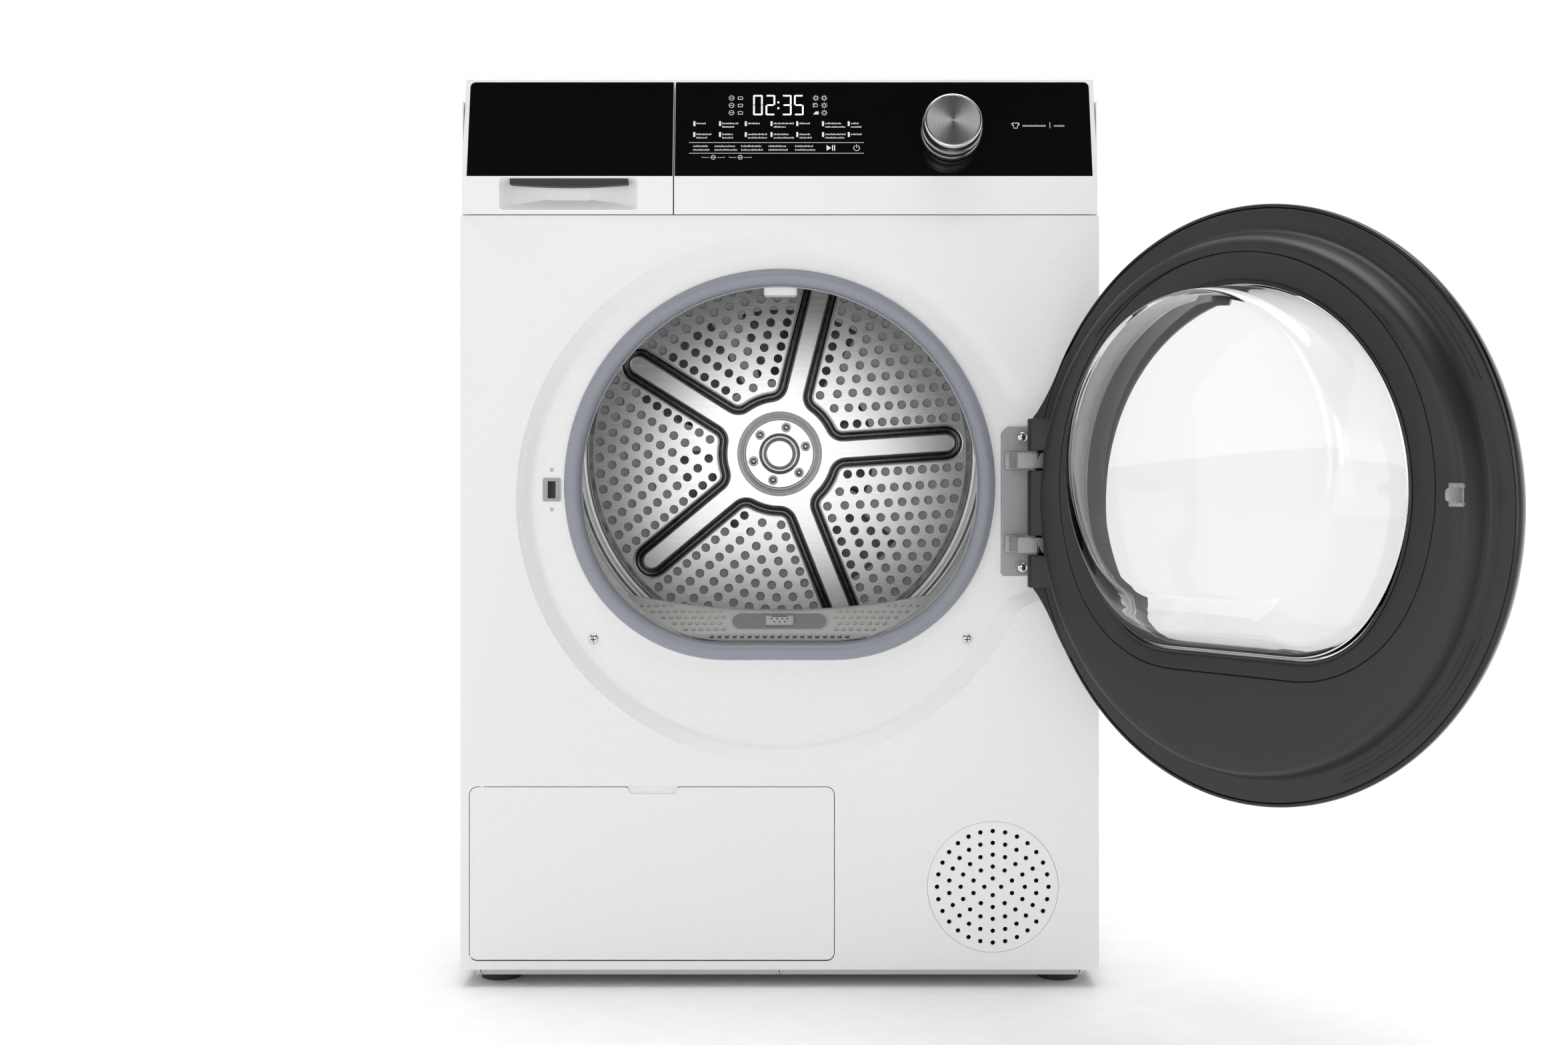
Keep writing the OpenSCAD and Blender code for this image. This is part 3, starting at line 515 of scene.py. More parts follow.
def fin_stock():
    """Rolled aluminium foil of the heat exchangers."""
    material, tree, shader, where = start_material("rolled_fin_stock", "c6cbce", 0.34, 1.0)
    noise = grain(tree, shader, where, 5, 0.01)
    vary(tree, shader, noise, "Fac", "Roughness", 0.28, 0.44)
    return material


def stove_enamel(name, low, high):
    """Stoved enamel on the compressor and the motor: glossy, with a slight orange peel."""
    material, tree, shader, where = start_material(name, low, 0.28)
    noise = grain(tree, shader, where, 4, 0.04)
    tint(tree, shader, noise, "Fac", low, high)
    return material


# %% Clear and translucent finishes


def pressed_glass():
    """Pressed door glass: clear, with very slight waves left by the mould."""
    material, tree, shader, where = start_material("pressed_glass", "f9f9f9", 0.02, IOR=1.5,
                                                   Transmission_Weight=1.0)
    grain(tree, shader, where, 45, 0.05, detail=1.0)
    return material


def frosted_lens():
    """Frosted polycarbonate lens of the drum lamp: white, with light that soaks in a little."""
    material, tree, shader, where = start_material("frosted_polycarbonate", "f3f4f3", 0.35,
                                                   Subsurface_Weight=0.3)
    shader.inputs["Subsurface Radius"].default_value = (0.004, 0.004, 0.004)
    grain(tree, shader, where, 1.2, 0.01)
    return material


MATERIALS = {
    "white_enamel": powder_coat(),
    "white_plastic": white_abs(),
    "worktop": melamine_top(),
    "black_glass": black_glass(),
    "door_gloss": piano_black(),
    "door_plastic": satin_door_plastic(),
    "seal_rubber": bulb_seal(),
    "black_rubber": black_rubber(),
    "base_plastic": moulded_plastic("grey_polypropylene", "b9bbbd", "c5c7c9"),
    "duct_plastic": moulded_plastic("light_polypropylene", "c3c5c6", "cfd1d2"),
    "filter_plastic": moulded_plastic("warm_grey_abs", "aeafab", "b6b7b3", 0.4, 0.9),
    # Black polyamide of inner parts; the same black also serves as painted shade: the grip's slot, the filter's
    # slots and clasp holes, and the screws' crosses.
    "black_plastic": moulded_plastic("black_polyamide_and_painted_shade", "202123", "2b2c2e"),
    "tank_plastic": moulded_plastic("natural_polypropylene", "d3d7da", "e2e5e7", 0.3),
    "lever_blue": moulded_plastic("blue_polypropylene", "35649b", "4173ad"),
    "hose_plastic": moulded_plastic("grey_hose_plastic", "6f7276", "85888c"),
    "circuit_board": moulded_plastic("green_solder_mask", "184a2f", "226140", 0.3, 4.0),
    "felt": moulded_plastic("needled_felt", "5d5952", "7d786f", 0.95, 0.5),
    "stainless": brushed_stainless(),
    "groove_painted_shade": groove_painted_shade(),
    "drum_wall": rolled_stainless(),
    "zinc": cast_zinc(),
    "screw_steel": plated_steel(),
    "galvanised": galvanised_sheet(),
    "copper": copper_tube(),
    "fins": fin_stock(),
    "dark_machine": stove_enamel("black_stove_enamel", "17181a", "242528"),
    "motor_paint": stove_enamel("grey_stove_enamel", "6c7278", "80868c"),
    "clear_glass": pressed_glass(),
    "lamp_plastic": frosted_lens(),
}
print("materials:", len(MATERIALS))

# %% [markdown]
# The floor gets its own plain, slightly rough material, so that the machine stands on something
# and still floats in a pale room.
# %% Floor material


def pale_floor():
    """Matt studio paper: a touch of grey so that the contact shadow shows."""
    material, tree, shader, where = start_material("studio_paper", "fafafa", 0.8)
    noise = grain(tree, shader, where, 30, 0.05)
    tint(tree, shader, noise, "Fac", "f7f7f7", "fdfdfd")
    return material


floor.data.materials.append(pale_floor())

# %% [markdown]
# ## The nodes that keep their CAD shape
# Inner parts such as the compressor or the ducts are already right. They only need their finish,
# which goes into the material slots of their objects, by the slot that the record names.
# %% Materials on the CAD nodes
slot_of = {part["node"]: part["material_slot"] for part in frame["record"]["subparts"]}
slot_of["worktop"] = "worktop"
slot_of["program_knob"] = "screw_steel"


def node_material(name):
    return MATERIALS.get(slot_of[name], MATERIALS["screw_steel"])


for name, node in frame["nodes"].items():
    for material_slot in node.material_slots:
        material_slot.link = "OBJECT"
        material_slot.material = node_material(name)
print("finished", len(frame["nodes"]), "carried-over nodes")

# %% [markdown]
# ## Where things are
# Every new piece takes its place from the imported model: the box of the node it stands for, or the
# joint it turns on. The console face leans back, so its parts are drawn upright and then tilted
# with it.
# %% Places from the model
JOINT = {joint["name"]: joint for joint in frame["joints"]}


def corners(node):
    """The lowest and highest corner of a node, in millimetres."""
    low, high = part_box(node)
    return low / MM, high / MM


def front_middle(node):
    """The middle of a node as seen from the front: its x and z."""
    low, high = corners(node)
    return (low.x + high.x) / 2, (low.z + high.z) / 2


def joint_place(name):
    return Vector(JOINT[name]["pos_m"]) / MM


knob_at = joint_place("knob_turn")
knob_axis = Vector(JOINT["knob_turn"]["axis"])
LEAN = math.atan2(knob_axis.z, -knob_axis.y)
LEAN_Z0 = knob_at.z - knob_at.y / math.tan(LEAN)
ON_LEAN = Matrix.Translation((0, 0, LEAN_Z0)) @ Matrix.Rotation(-LEAN, 4, "X")
knob_up = knob_at.y / math.sin(LEAN)          # knob's height, measured up the leaning face

hinge = joint_place("door_hinge")
OPENED = (Matrix.Translation((hinge.x, hinge.y, 0))
          @ Matrix.Rotation(-math.radians(JOINT["door_hinge"]["range_deg"][0]), 4, "Z")
          @ Matrix.Translation((-hinge.x, -hinge.y, 0)))

panel_low, panel_high = corners("front_panel")
HALF = panel_high.x
MOUTH_Z, MOUTH_R = 468.4, 202                 # centre and radius of the D-shaped loading opening
DRUM_Z = joint_place("drum_spin").z
DROP, CORNER = 164.7, 150.0                   # its flat bottom and corner arcs at that radius
print("console leans", round(math.degrees(LEAN), 2), "degrees; hinge at", tuple(round(v) for v in hinge))


def mouth_outline(r):
    """The loading opening's D at any radius: all of them are parallel."""
    return d_outline(MOUTH_Z, r, DROP + r - MOUTH_R, CORNER + r - MOUTH_R)


# %% [markdown]
# ## Cabinet front
# The front is one pressed sheet: a flat face, a round dish that swells to the right to clear the
# hinge, and a D-shaped hole for the drum. The dish blends out of the face in a soft S, which is
# what catches the light as a thin bright ring.
# %% Front panel
RECESS_Z = 454.5                              # centre of the dish
FLOOR_Y = 11.5                                # depth of the dish's floor
FLAP_BOTTOM = 26.1
lock_x, lock_z = front_middle("door_lock")
grille_x, grille_z = front_middle("air_intake_grille")


def dish_outline(r, steps=240):
    """The dish at radius r, swollen by 40 mm towards the hinge."""
    points = []
    for i in range(steps):
        a = math.tau * i / steps
        off = abs(math.degrees(math.atan2(math.sin(a), math.cos(a))))
        fade = min(max((25.5 - off) / 11, 0), 1)
        grown = r + 40 * fade * fade * (3 - 2 * fade)
        points.append((grown * math.cos(a), RECESS_Z + grown * math.sin(a)))
    return points


def front_sheet():
    """The pressed sheet, from its outer folds to the rim of the loading opening."""
    x, z0, z1 = HALF, panel_low.z, panel_high.z
    outer = [(rect_outline(-x + t, x - t, z0 + t, z1 - t, max(3 - t, 0.5)), y)
             for t, y in ((1.6, 0), (0.7, 0.25), (0.2, 0.8), (0, 1.8), (0, 14))]
    flap_low, flap_high = corners("service_flap")
    flap_hole = rect_outline(flap_low.x - 0.7, flap_high.x + 0.7, FLAP_BOTTOM - 1.2, flap_high.z + 0.7, 7.7)
    grille_hole = ring_outline(grille_x, grille_z, 61, 96)
    lock_hole = rect_outline(lock_x - 7.7, lock_x + 7.7, lock_z - 10.4, lock_z + 10.4, 1.5)
    s_curve = ((245.5, 0), (245, 0.15), (244.4, 0.7), (243.9, 1.3), (242.4, 2.3), (240, 4.1), (237, 6.6),
               (234.2, 9.2), (232, 10.6),
               (230, 11.3), (227.5, FLOOR_Y))
    dish = [(dish_outline(r), y) for r, y in s_curve]
    face = plate([outer[0][0], dish[0][0], flap_hole, grille_hole], 0, 0)
    floor_sheet = plate([dish[-1][0], mouth_outline(200.5), lock_hole], FLOOR_Y, FLOOR_Y)
    rims = [skin([(hole, y), (hole, y + 1.2)]) for hole, y in
            ((flap_hole, 0), (grille_hole, 0), (lock_hole, FLOOR_Y), (mouth_outline(200.5), FLOOR_Y))]
    return joined(face, floor_sheet, skin(outer), skin(dish), *rims)


front = make_piece("front_panel_sheet", front_sheet(), MATERIALS["white_enamel"], "cabinet",
                   ["front_panel"], sharp=50)
print("front panel faces:", len(front.data.polygons))

# %% Service flap
flap_low, flap_high = corners("service_flap")
flap_pin = joint_place("flap_hinge")


def flap_outline():
    """The flap's edge, with the finger notch in its top."""
    x0, x1, z0, z1 = flap_low.x, flap_high.x, FLAP_BOTTOM, flap_high.z
    corner = 7
    right_top = arc(x1 - corner, z1 - corner, corner, 0, 90, 8)
    notch = (arc(-92.5, z1 - 2.5, 2.5, 90, 180, 5) + arc(-98 - 0.4, z1 - 3.2, 3, 0, -90, 5)
             + arc(-138 + 0.4, z1 - 3.2, 3, -90, -180, 5) + arc(-143.5, z1 - 2.5, 2.5, 0, 90, 5))
    left_top = arc(x0 + corner, z1 - corner, corner, 90, 180, 8)
    bottom = arc(x0 + corner, z0 + corner, corner, 180, 270, 8) + arc(x1 - corner, z0 + corner, corner,
                                                                      270, 360, 8)
    return right_top + notch + left_top + bottom


def flap_leaf():
    """The flap's plate with its two hinge knuckles and pins."""
    leaf = plate([flap_outline()], 0.05, 1.8)
    knuckles = []
    for x0 in (flap_low.x + 24.4, flap_high.x - 30.4):
        knuckles.append(block((x0, 1.4, flap_pin.z - 3), (x0 + 6, 9, flap_pin.z + 3), 0.6))
    for x0, x1 in ((flap_low.x + 18.5, flap_low.x + 26.5), (flap_high.x - 26, flap_high.x - 18.5)):
        knuckles.append(block((x0, 4.6, flap_pin.z - 1.4), (x1, 7.4, flap_pin.z + 1.4), 0.5))
    return joined(leaf, *knuckles)


flap = make_piece("service_flap_leaf", flap_leaf(), MATERIALS["white_enamel"], "flap",
                  ["service_flap"], bevel=0.45)
make_piece("flap_notch_pad", block((-141.5, 1.6, 178.5), (-94.5, 2.6, 187.2), 0.3),
           MATERIALS["white_plastic"], "cabinet")
print("flap:", len(flap.data.polygons), "faces")

# %% Worktop
top_low, top_high = corners("worktop")
make_piece("worktop_board", block(top_low, top_high, 2.2, 3), MATERIALS["worktop"], "cabinet",
           ["worktop"])

# %% [markdown]
# ## Console
# Two mouldings share the console: the fascia on the right and the drawer's front on the left. Each
# has an upright band below and a leaning face above, with a pocket for the black glass. The
# drawer's band also has the scooped grip.
# %% Console mouldings
fascia_low, fascia_high = corners("fascia")
drawer_low, drawer_high = corners("tank_drawer_front")
TOP_Z = fascia_high.z
BACK_Y = fascia_high.y
lean_length = (TOP_Z - LEAN_Z0) / math.cos(LEAN)
top_y = (TOP_Z - LEAN_Z0) * math.tan(LEAN)
GRIP = (-260.8, -132.2, 724.0, 754.0)


def glass_outline(x0, x1, gap=0.0):
    """The glass: framed and rounded at the cabinet's side, square and frameless at the joint."""
    left_r, right_r = (5 if x0 < -200 else 0.5), (5 if x1 > 200 else 0.5)
    left, right = x0 + max(left_r - 0.5, 0.5) - gap, x1 - max(right_r - 0.5, 0.5) + gap
    low, high = 0.5 - gap * 0.5, lean_length - 2.7 + gap
    return (arc(right - right_r, high - right_r, right_r, 0, 90, 8)
            + arc(left + left_r, high - left_r, left_r, 90, 180, 8)
            + arc(left + 0.5, low + 0.5, 0.5, 180, 270, 3) + arc(right - 0.5, low + 0.5, 0.5, 270, 360, 3))


def grip_outline(scale=1.0):
    """The grip's mouth, scaled about its middle."""
    x0, x1, z0, z1 = GRIP
    cx, cz, w, h = (x0 + x1) / 2, (z0 + z1) / 2, (x1 - x0) / 2 * scale, (z1 - z0) / 2 * scale
    return rect_outline(cx - w, cx + w, cz - h, cz + h, 3.6 * scale)


def console_moulding(x0, x1, grip=()):
    """A hollow moulding: bottom, upright band, leaning frame with a pocket, and top."""
    z0 = fascia_low.z
    band = plate([[(x0, z0), (x1, z0), (x1, LEAN_Z0), (x0, LEAN_Z0)], *grip], 0, 0)
    seat = glass_outline(x0, x1, 0.25)
    frame_face = plate([[(x0, 0), (x1, 0), (x1, lean_length), (x0, lean_length)], seat], 0, 0)
    pocket = skin([(seat, 0), (seat, 3.4)])
    pocket_floor = plate([seat], 3.4, 3.4)
    shell = bmesh.new()
    rows = ((BACK_Y, z0), (0, z0), (0, LEAN_Z0), (top_y, TOP_Z), (BACK_Y, TOP_Z))
    ends = [[shell.verts.new((x, y, z)) for y, z in rows] for x in (x0, x1)]
    for i in (0, 3):
        shell.faces.new((ends[0][i], ends[0][i + 1], ends[1][i + 1], ends[1][i]))
    for end in ends:
        shell.faces.new(end)
    tilted = [moved(bm, ON_LEAN) for bm in (frame_face, pocket, pocket_floor)]
    return joined(band, shell, *tilted)


fascia = make_piece("fascia_moulding", console_moulding(fascia_low.x, fascia_high.x),
                    MATERIALS["white_plastic"], "cabinet", ["fascia"], sharp=12, bevel=0.8)


def scoop():
    """The grip's inner skin: a shelf that curves up and in, and sloping cheeks."""
    rings = []
    for scale, share in ((1, 0), (0.992, 0.1), (0.975, 0.3), (0.94, 0.62), (0.9, 0.85), (0.85, 0.97),
                         (0.78, 1), (0.3, 1)):
        outline = grip_outline(scale)
        depths = [0.2 + 13 * share * (0.3 + 0.7 * min(max((z - GRIP[2]) / 11, 0), 1)) for _, z in outline]
        rings.append((outline, depths))
    bm = skin(rings)
    middle = [e for e in bm.edges if e.is_boundary and all(v.co.y > 3 for v in e.verts)]
    bmesh.ops.holes_fill(bm, edges=middle, sides=0)
    return bm


drawer = make_piece("drawer_front_moulding",
                    joined(console_moulding(drawer_low.x, drawer_high.x, [grip_outline()]), scoop()),
                    MATERIALS["white_plastic"], "tank_drawer", ["tank_drawer_front"],
                    sharp=12, bevel=0.6)
smile = [(-141.5, 753.6), (-251.5, 753.6)] + [(-251.5 + 11 * i, 746.0 + 2.4 * ((i - 5) / 5) ** 2)
                                              for i in range(11)]
make_piece("grip_shadow_slot", plate([smile], 3.4, 14), MATERIALS["black_plastic"], "tank_drawer",
           ["tank_drawer_front"])
make_piece("drawer_back_plate", block((drawer_low.x + 3, 42, 757), (drawer_high.x - 6, 45, 826), 1),
           MATERIALS["white_plastic"], "tank_drawer", ["tank_drawer_front"])
print("console mouldings:", len(fascia.data.polygons) + len(drawer.data.polygons), "faces")

# %% Black glass panels


def glass_panel(x0, x1, hole=None):
    outlines = [glass_outline(x0, x1)] + ([hole] if hole else [])
    return plate(outlines, 0.02, 3.2)


make_piece("control_glass_panel",
           glass_panel(fascia_low.x, fascia_high.x, ring_outline(knob_at.x, knob_up, 12, 48)),
           MATERIALS["black_glass"], "cabinet", ["control_glass"], place=ON_LEAN, bevel=0.5)
make_piece("drawer_glass_panel", glass_panel(drawer_low.x, drawer_high.x), MATERIALS["black_glass"],
           "tank_drawer", ["tank_drawer_front"], place=ON_LEAN, bevel=0.5)
print("glass panels lean with the console")

# %% Programme knob


def knob_cap():
    """The spun face of the knob, very slightly dished."""
    return turned([(0, -29.5), (8, -29.55), (16, -29.65), (24.2, -29.7)], knob_at.x, knob_up)


def knob_bezel():
    """The bright ring round the face."""
    return turned([(24.2, -29.6), (24.5, -29.95), (25.4, -29.95), (26.4, -29.4), (27, -28.2), (27, -26.5)],
                  knob_at.x, knob_up)


def knob_skirt():
    """The stepped grip: a tall upper drum, two shallow grooves and a wider foot."""
    return turned([(27, -26.5), (26.5, -26.2), (26.6, -18), (27, -16.8), (28.2, -16), (28.2, -12),
                   (27.4, -11.3),
                   (27.3, -7), (28.1, -6.3), (28.3, -6), (28.3, -1.5), (27.4, -0.6), (12, -0.6)],
                  knob_at.x, knob_up)


def spun_aluminium():
    """Spun-brushed aluminium: rings of fine scratches that fan the highlight out from the centre."""
    material, tree, shader, where = start_material("spun_aluminium", "d9dadb", 0.28, 1.0, Anisotropic=0.85)
    centre = ON_LEAN @ Vector((knob_at.x, -29.5, knob_up)) * MM
    local = add_node(tree, "ShaderNodeMapping", {"Vector": (where, "Object")},
                     {"Location": -centre}, vector_type="POINT")
    upright = add_node(tree, "ShaderNodeMapping", {"Vector": (local, "Vector")},
                       {"Rotation": (LEAN, 0, 0)}, vector_type="POINT")
    parts = add_node(tree, "ShaderNodeSeparateXYZ", {"Vector": (upright, "Vector")})
    flat = add_node(tree, "ShaderNodeCombineXYZ", {"X": (parts, "X"), "Y": (parts, "Z")})
    reach = add_node(tree, "ShaderNodeVectorMath", {0: (flat, "Vector")}, operation="LENGTH")
    rings = add_node(tree, "ShaderNodeTexNoise", {"W": (reach, "Value")}, {"Scale": 5200.0, "Detail": 3.0},
                     noise_dimensions="1D")
    vary(tree, shader, rings, "Fac", "Roughness", 0.2, 0.36)
    bump = add_node(tree, "ShaderNodeBump", {"Height": (rings, "Fac")}, {"Distance": 0.004 * MM})
    tree.links.new(bump.outputs["Normal"], shader.inputs["Normal"])
    across = add_node(tree, "ShaderNodeVectorMath", {0: (local, "Vector")}, operation="CROSS_PRODUCT")
    across.inputs[1].default_value = knob_axis
    tree.links.new(across.outputs["Vector"], shader.inputs["Tangent"])
    return material


def dark_chrome():
    """Dark chrome of the knob's skirt: smooth, with reflections held back to grey."""
    material, tree, shader, where = start_material("dark_chrome", "8c8d90", 0.16, 1.0)
    noise = grain(tree, shader, where, 1.5, 0.004)
    vary(tree, shader, noise, "Fac", "Roughness", 0.12, 0.22)
    return material


MATERIALS["aluminium"] = spun_aluminium()
MATERIALS["dark_chrome"] = dark_chrome()
for name, shape, key in (("knob_cap", knob_cap(), "aluminium"), ("knob_bezel", knob_bezel(), "screw_steel"),
                         ("knob_skirt", knob_skirt(), "dark_chrome")):
    make_piece(name, shape, MATERIALS[key], "knob", ["program_knob"], place=ON_LEAN)
print("knob at", tuple(round(v, 1) for v in knob_at))

# %% [markdown]
# ## Loading opening
# The rubber seal is one bulb swept round the D. Behind it sit the drum lamp and the lint filter.
# %% Door seal


def seal_bulb():
    """The seal's section, swept round the opening: one soft bulb and a lip that goes inwards."""
    bulb = [(194 + 7.9 * math.cos(math.radians(a)), 12.2 - 7.6 * math.sin(math.radians(a)))
            for a in range(6, 175, 12)]
    section = bulb + [(186.1, 17), (186.6, 23.9)]
    return skin([(mouth_outline(r), y) for r, y in section])


make_piece("door_seal_bulb", seal_bulb(), MATERIALS["seal_rubber"], "cabinet",
           ["door_gasket"], sharp=60)
lamp_low, lamp_high = corners("drum_lamp")
lens = block((-15, lamp_low.y, lamp_low.z + 4), (17, lamp_high.y, lamp_high.z), 2.5, 4)
make_piece("drum_lamp_lens", lens, MATERIALS["lamp_plastic"], "cabinet", ["drum_lamp"])
print("seal and lamp made")

# %% [markdown]
# ## Drum
# The drum is the brightest thing inside: a rolled shell, a stepped front lip, and a pressed back.
# The back has a five-armed star. Between the arms sit five panels with rows of air holes, each
# panel framed by a rounded groove, its steel painted darker as shade, that reads as a dark line.
# %% Drum shell
FRONT = corners("drum_shell")[0].y            # depth of the drum's front lip
BACK = corners("drum_back")[0].y              # and of its back plate


def shell_wall():
    """Front lip, rolled wall with two shallow beads, cone, and the stepped rim of the back."""
    inside = [(222, BACK - 1.3), (226, BACK - 1.3), (228, BACK - 3.2), (232, BACK - 4.2), (234, BACK - 2.2),
              (238, BACK - 1.6), (241, BACK - 3.4), (243, BACK - 2), (246, BACK - 4.4), (262, BACK - 15.4),
              (277.6, BACK - 27), (278.7, BACK - 30), (278.7, 300), (276.5, 296), (276.5, 288),
              (278.7, 284),
              (278.7, 180), (276.5, 176), (276.5, 168), (278.7, 164), (278.7, FRONT + 4),
              (276, FRONT + 1.4),
              (250, FRONT + 1.4), (247, FRONT + 2.2), (246.2, FRONT + 1.2), (247, FRONT + 0.1)]
    outside = [(278, FRONT), (280, FRONT + 2), (280, BACK - 26.5), (243, BACK), (222, BACK)]
    return turned(inside + outside, 0, DRUM_Z, 192)


make_piece("drum_wall", shell_wall(), MATERIALS["drum_wall"], "drum", ["drum_shell"])

# %% Star and perforated panels
STAR_TURN = 3.8                               # degrees
FIFTH = 72
ARM_HALF, ARM_END = 9.0, 197.5                # an arm's flat half width, and the centre of its round end
HUB_R, HUB_FILLET = 61.5, 22.0                # the star's middle, and its corners to the arms
GROOVE = 13.7                                 # width of the groove round the star


def star_fifth(t, steps=8):
    """The star's edge from one arm's tip to the next, moved outwards by t and drawn from angle 0."""
    u, v = math.sqrt((HUB_R + HUB_FILLET) ** 2 - (ARM_HALF + HUB_FILLET) ** 2), ARM_HALF + HUB_FILLET
    lean = math.degrees(math.atan2(v, u))
    c, s = math.cos(math.radians(FIFTH)), math.sin(math.radians(FIFTH))
    near = arc(ARM_END, 0, ARM_HALF + t, 0, 90, steps) + arc(u, v, HUB_FILLET - t, -90, lean - 180, steps)
    middle = arc(0, 0, HUB_R + t, lean, FIFTH - lean, steps)[1:-1]
    return near + middle + [(x * c + z * s, x * s - z * c) for x, z in reversed(near)]


def spun(outline, k):
    """An outline turned to the k-th arm."""
    c, s = math.cos(math.radians(STAR_TURN + FIFTH * k)), math.sin(math.radians(STAR_TURN + FIFTH * k))
    return [(x * c - z * s, x * s + z * c) for x, z in outline]


def star_outline(t):
    return [p for k in range(5) for p in spun(star_fifth(t)[:-1], k)]


def hole_places():
    """Air holes of one panel, on rings: each ring has one hole more than the last."""
    places = []
    for ring in range(10):
        r = 84.5 + 14.4 * ring
        widest = FIFTH / 2 - math.degrees(math.asin(29.6 / r))
        for i in range(ring + 3):
            a = math.radians(FIFTH / 2 + widest * (2 * i / (ring + 2) - 1))
            places.append((r * math.cos(a), r * math.sin(a)))
    return places


def drum_face():
    """The star's flat, and five perforated panels with a lip in each hole."""
    star = plate([star_outline(0), ring_outline(0, 0, 50.4, 128)], BACK - 1.6, BACK - 1.6)
    edge = star_fifth(GROOVE) + arc(0, 0, 222.4, FIFTH, 0, 32)
    holes = [ring_outline(u, v, 5.3, 16) for u, v in hole_places()]
    lips = [[ring_outline(u, v, r, 16) for r in (5.3, 5.0, 5.0)] for u, v in hole_places()]
    panels = [plate([spun(outline, k) for outline in [edge, *holes]], BACK, BACK) for k in range(5)]
    panels += [skin([(spun(ring, k), BACK + y) for ring, y in zip(lip, (0, 0.5, 1.2))])
               for lip in lips for k in range(5)]
    shoulders = [skin([(star_outline(t), BACK + y) for t, y in side]) for side in
                 (((0, -1.6), (0.5, -1.6), (1.2, -1.35), (2.2, -0.5), (3.0, 0.6)),
                  ((10.6, 0.6), (11.1, -0.2), (11.8, -0.4), (12.4, -0.2), (12.9, 0.6), (13.3, 0.6),
                   (13.7, 0)))]
    return moved(joined(star, *panels, *shoulders), Matrix.Translation((0, 0, DRUM_Z)))


def star_groove():
    """The bottom of the groove that frames the star."""
    section = ((3.0, 0.6), (3.7, 2.0), (4.9, 3.0), (7, 3.2), (9, 2.8), (10, 1.8), (10.6, 0.6))
    return moved(skin([(star_outline(t), BACK + y) for t, y in section]),
                 Matrix.Translation((0, 0, DRUM_Z)))


drum_back = make_piece("drum_back_star", drum_face(), MATERIALS["stainless"], "drum",
                       ["drum_back"], sharp=30)
# The groove's steel has a darker colour: painted shade for the deep groove.
make_piece("drum_star_groove", star_groove(), MATERIALS["groove_painted_shade"], "drum", ["drum_back"],
           sharp=60)
print("air holes:", 5 * len(hole_places()), "faces:", len(drum_back.data.polygons))

# %% Hub and its screws


def hub_disc():
    """The pressed hub: a raised boss, a flat with six screws, and a ring groove."""
    profile = ((0, 2.2), (14.4, 2.2), (15, 2.2), (15.6, 2.1), (16.6, 1.5), (17.2, 0.4), (18.2, -0.7),
               (20, -1.2), (21.8, -0.6),
               (22.8, 0.9), (23.6, 1.9), (24.2, 2.2), (24.8, 2.2), (39.4, 2.2), (40, 2.2), (40.8, 2.5),
               (41.6, 3.8), (42.6, 5.6), (44, 6.0),
               (45.2, 5.0), (46, 4.3), (46.8, 4.5), (47.6, 5.7), (48.8, 5.9), (49.8, 5.0), (50.4, 4.6))
    return turned([(r, BACK - 5 + y - 1.2) for r, y in profile], 0, DRUM_Z, 128)


def screw_head(cx, cz, y, r):
    """A domed head on its washer."""
    return turned([(1.35 * r, y), (1.35 * r, y - 0.1 * r), (1.2 * r, y - 0.16 * r), (r, y - 0.08 * r),
                   (0.96 * r, y - 0.3 * r), (0.8 * r, y - 0.55 * r), (0.5 * r, y - 0.72 * r),
                   (0, y - 0.8 * r)],
                  cx, cz, 24)


hub = make_piece("drum_hub_disc", hub_disc(), MATERIALS["stainless"], "drum", ["drum_hub"])
hub_angles = [math.radians(16 + 60 * i) for i in range(6)]
heads = joined(*[screw_head(32.2 * math.cos(a), DRUM_Z + 32.2 * math.sin(a), BACK - 4.0, 4.3)
                 for a in hub_angles])
make_piece("hub_screw_heads", heads, MATERIALS["screw_steel"], "drum", ["hub_screws"])
print("hub faces:", len(hub.data.polygons))

# %% [markdown]
# ## Lint filter
# The filter fills the flat of the D with a sloping face. Rows of small hooded slots let the air
# through, and a stadium-shaped recess with a clasp serves as its handle.
# %% Filter face
FILTER_BOTTOM = corners("lint_filter")[0].z
CREASE_Z, RISE, RUN = 326, 30, 26.4           # where the face starts to slope, and how steeply


def slope_y(z):
    """Depth of the sloping face at a height."""
    return 27.6 + min(max(z - CREASE_Z, 0), RISE) * RUN / RISE


def filter_bottom(x):
    """Lower edge of the face: the D's flat and its corner arcs."""
    r = 186 - 0.7
    corner, drop = CORNER + r - MOUTH_R, DROP + r - MOUTH_R
    cx = math.sqrt((r - corner) ** 2 - (drop - corner) ** 2)
    over = max(abs(x) - cx, 0)
    return MOUTH_Z - drop + corner - math.sqrt(max(corner * corner - over * over, 0))


def filter_top(x):
    return 347.4 + 15 * (x / 146) ** 2


def filter_face():
    """The sloping sheet, rounded over along its top."""
    bm = bmesh.new()
    columns, rows = 120, 14
    grid = []
    for i in range(columns + 1):
        x = -145 + 290 * i / columns
        low, high = filter_bottom(x) + 0.2, filter_top(x)
        column = []
        for j in range(rows + 1):
            z = low + (high - low) * j / rows
            column.append(bm.verts.new((x, slope_y(z), z)))
        column.append(bm.verts.new((x, slope_y(high) + 1.0, high + 0.5)))
        column.append(bm.verts.new((x, 57.5, high + 0.6)))
        grid.append(column)
    for a, b in zip(grid, grid[1:]):
        for j in range(rows + 2):
            bm.faces.new((a[j], b[j], b[j + 1], a[j + 1]))
    return bm


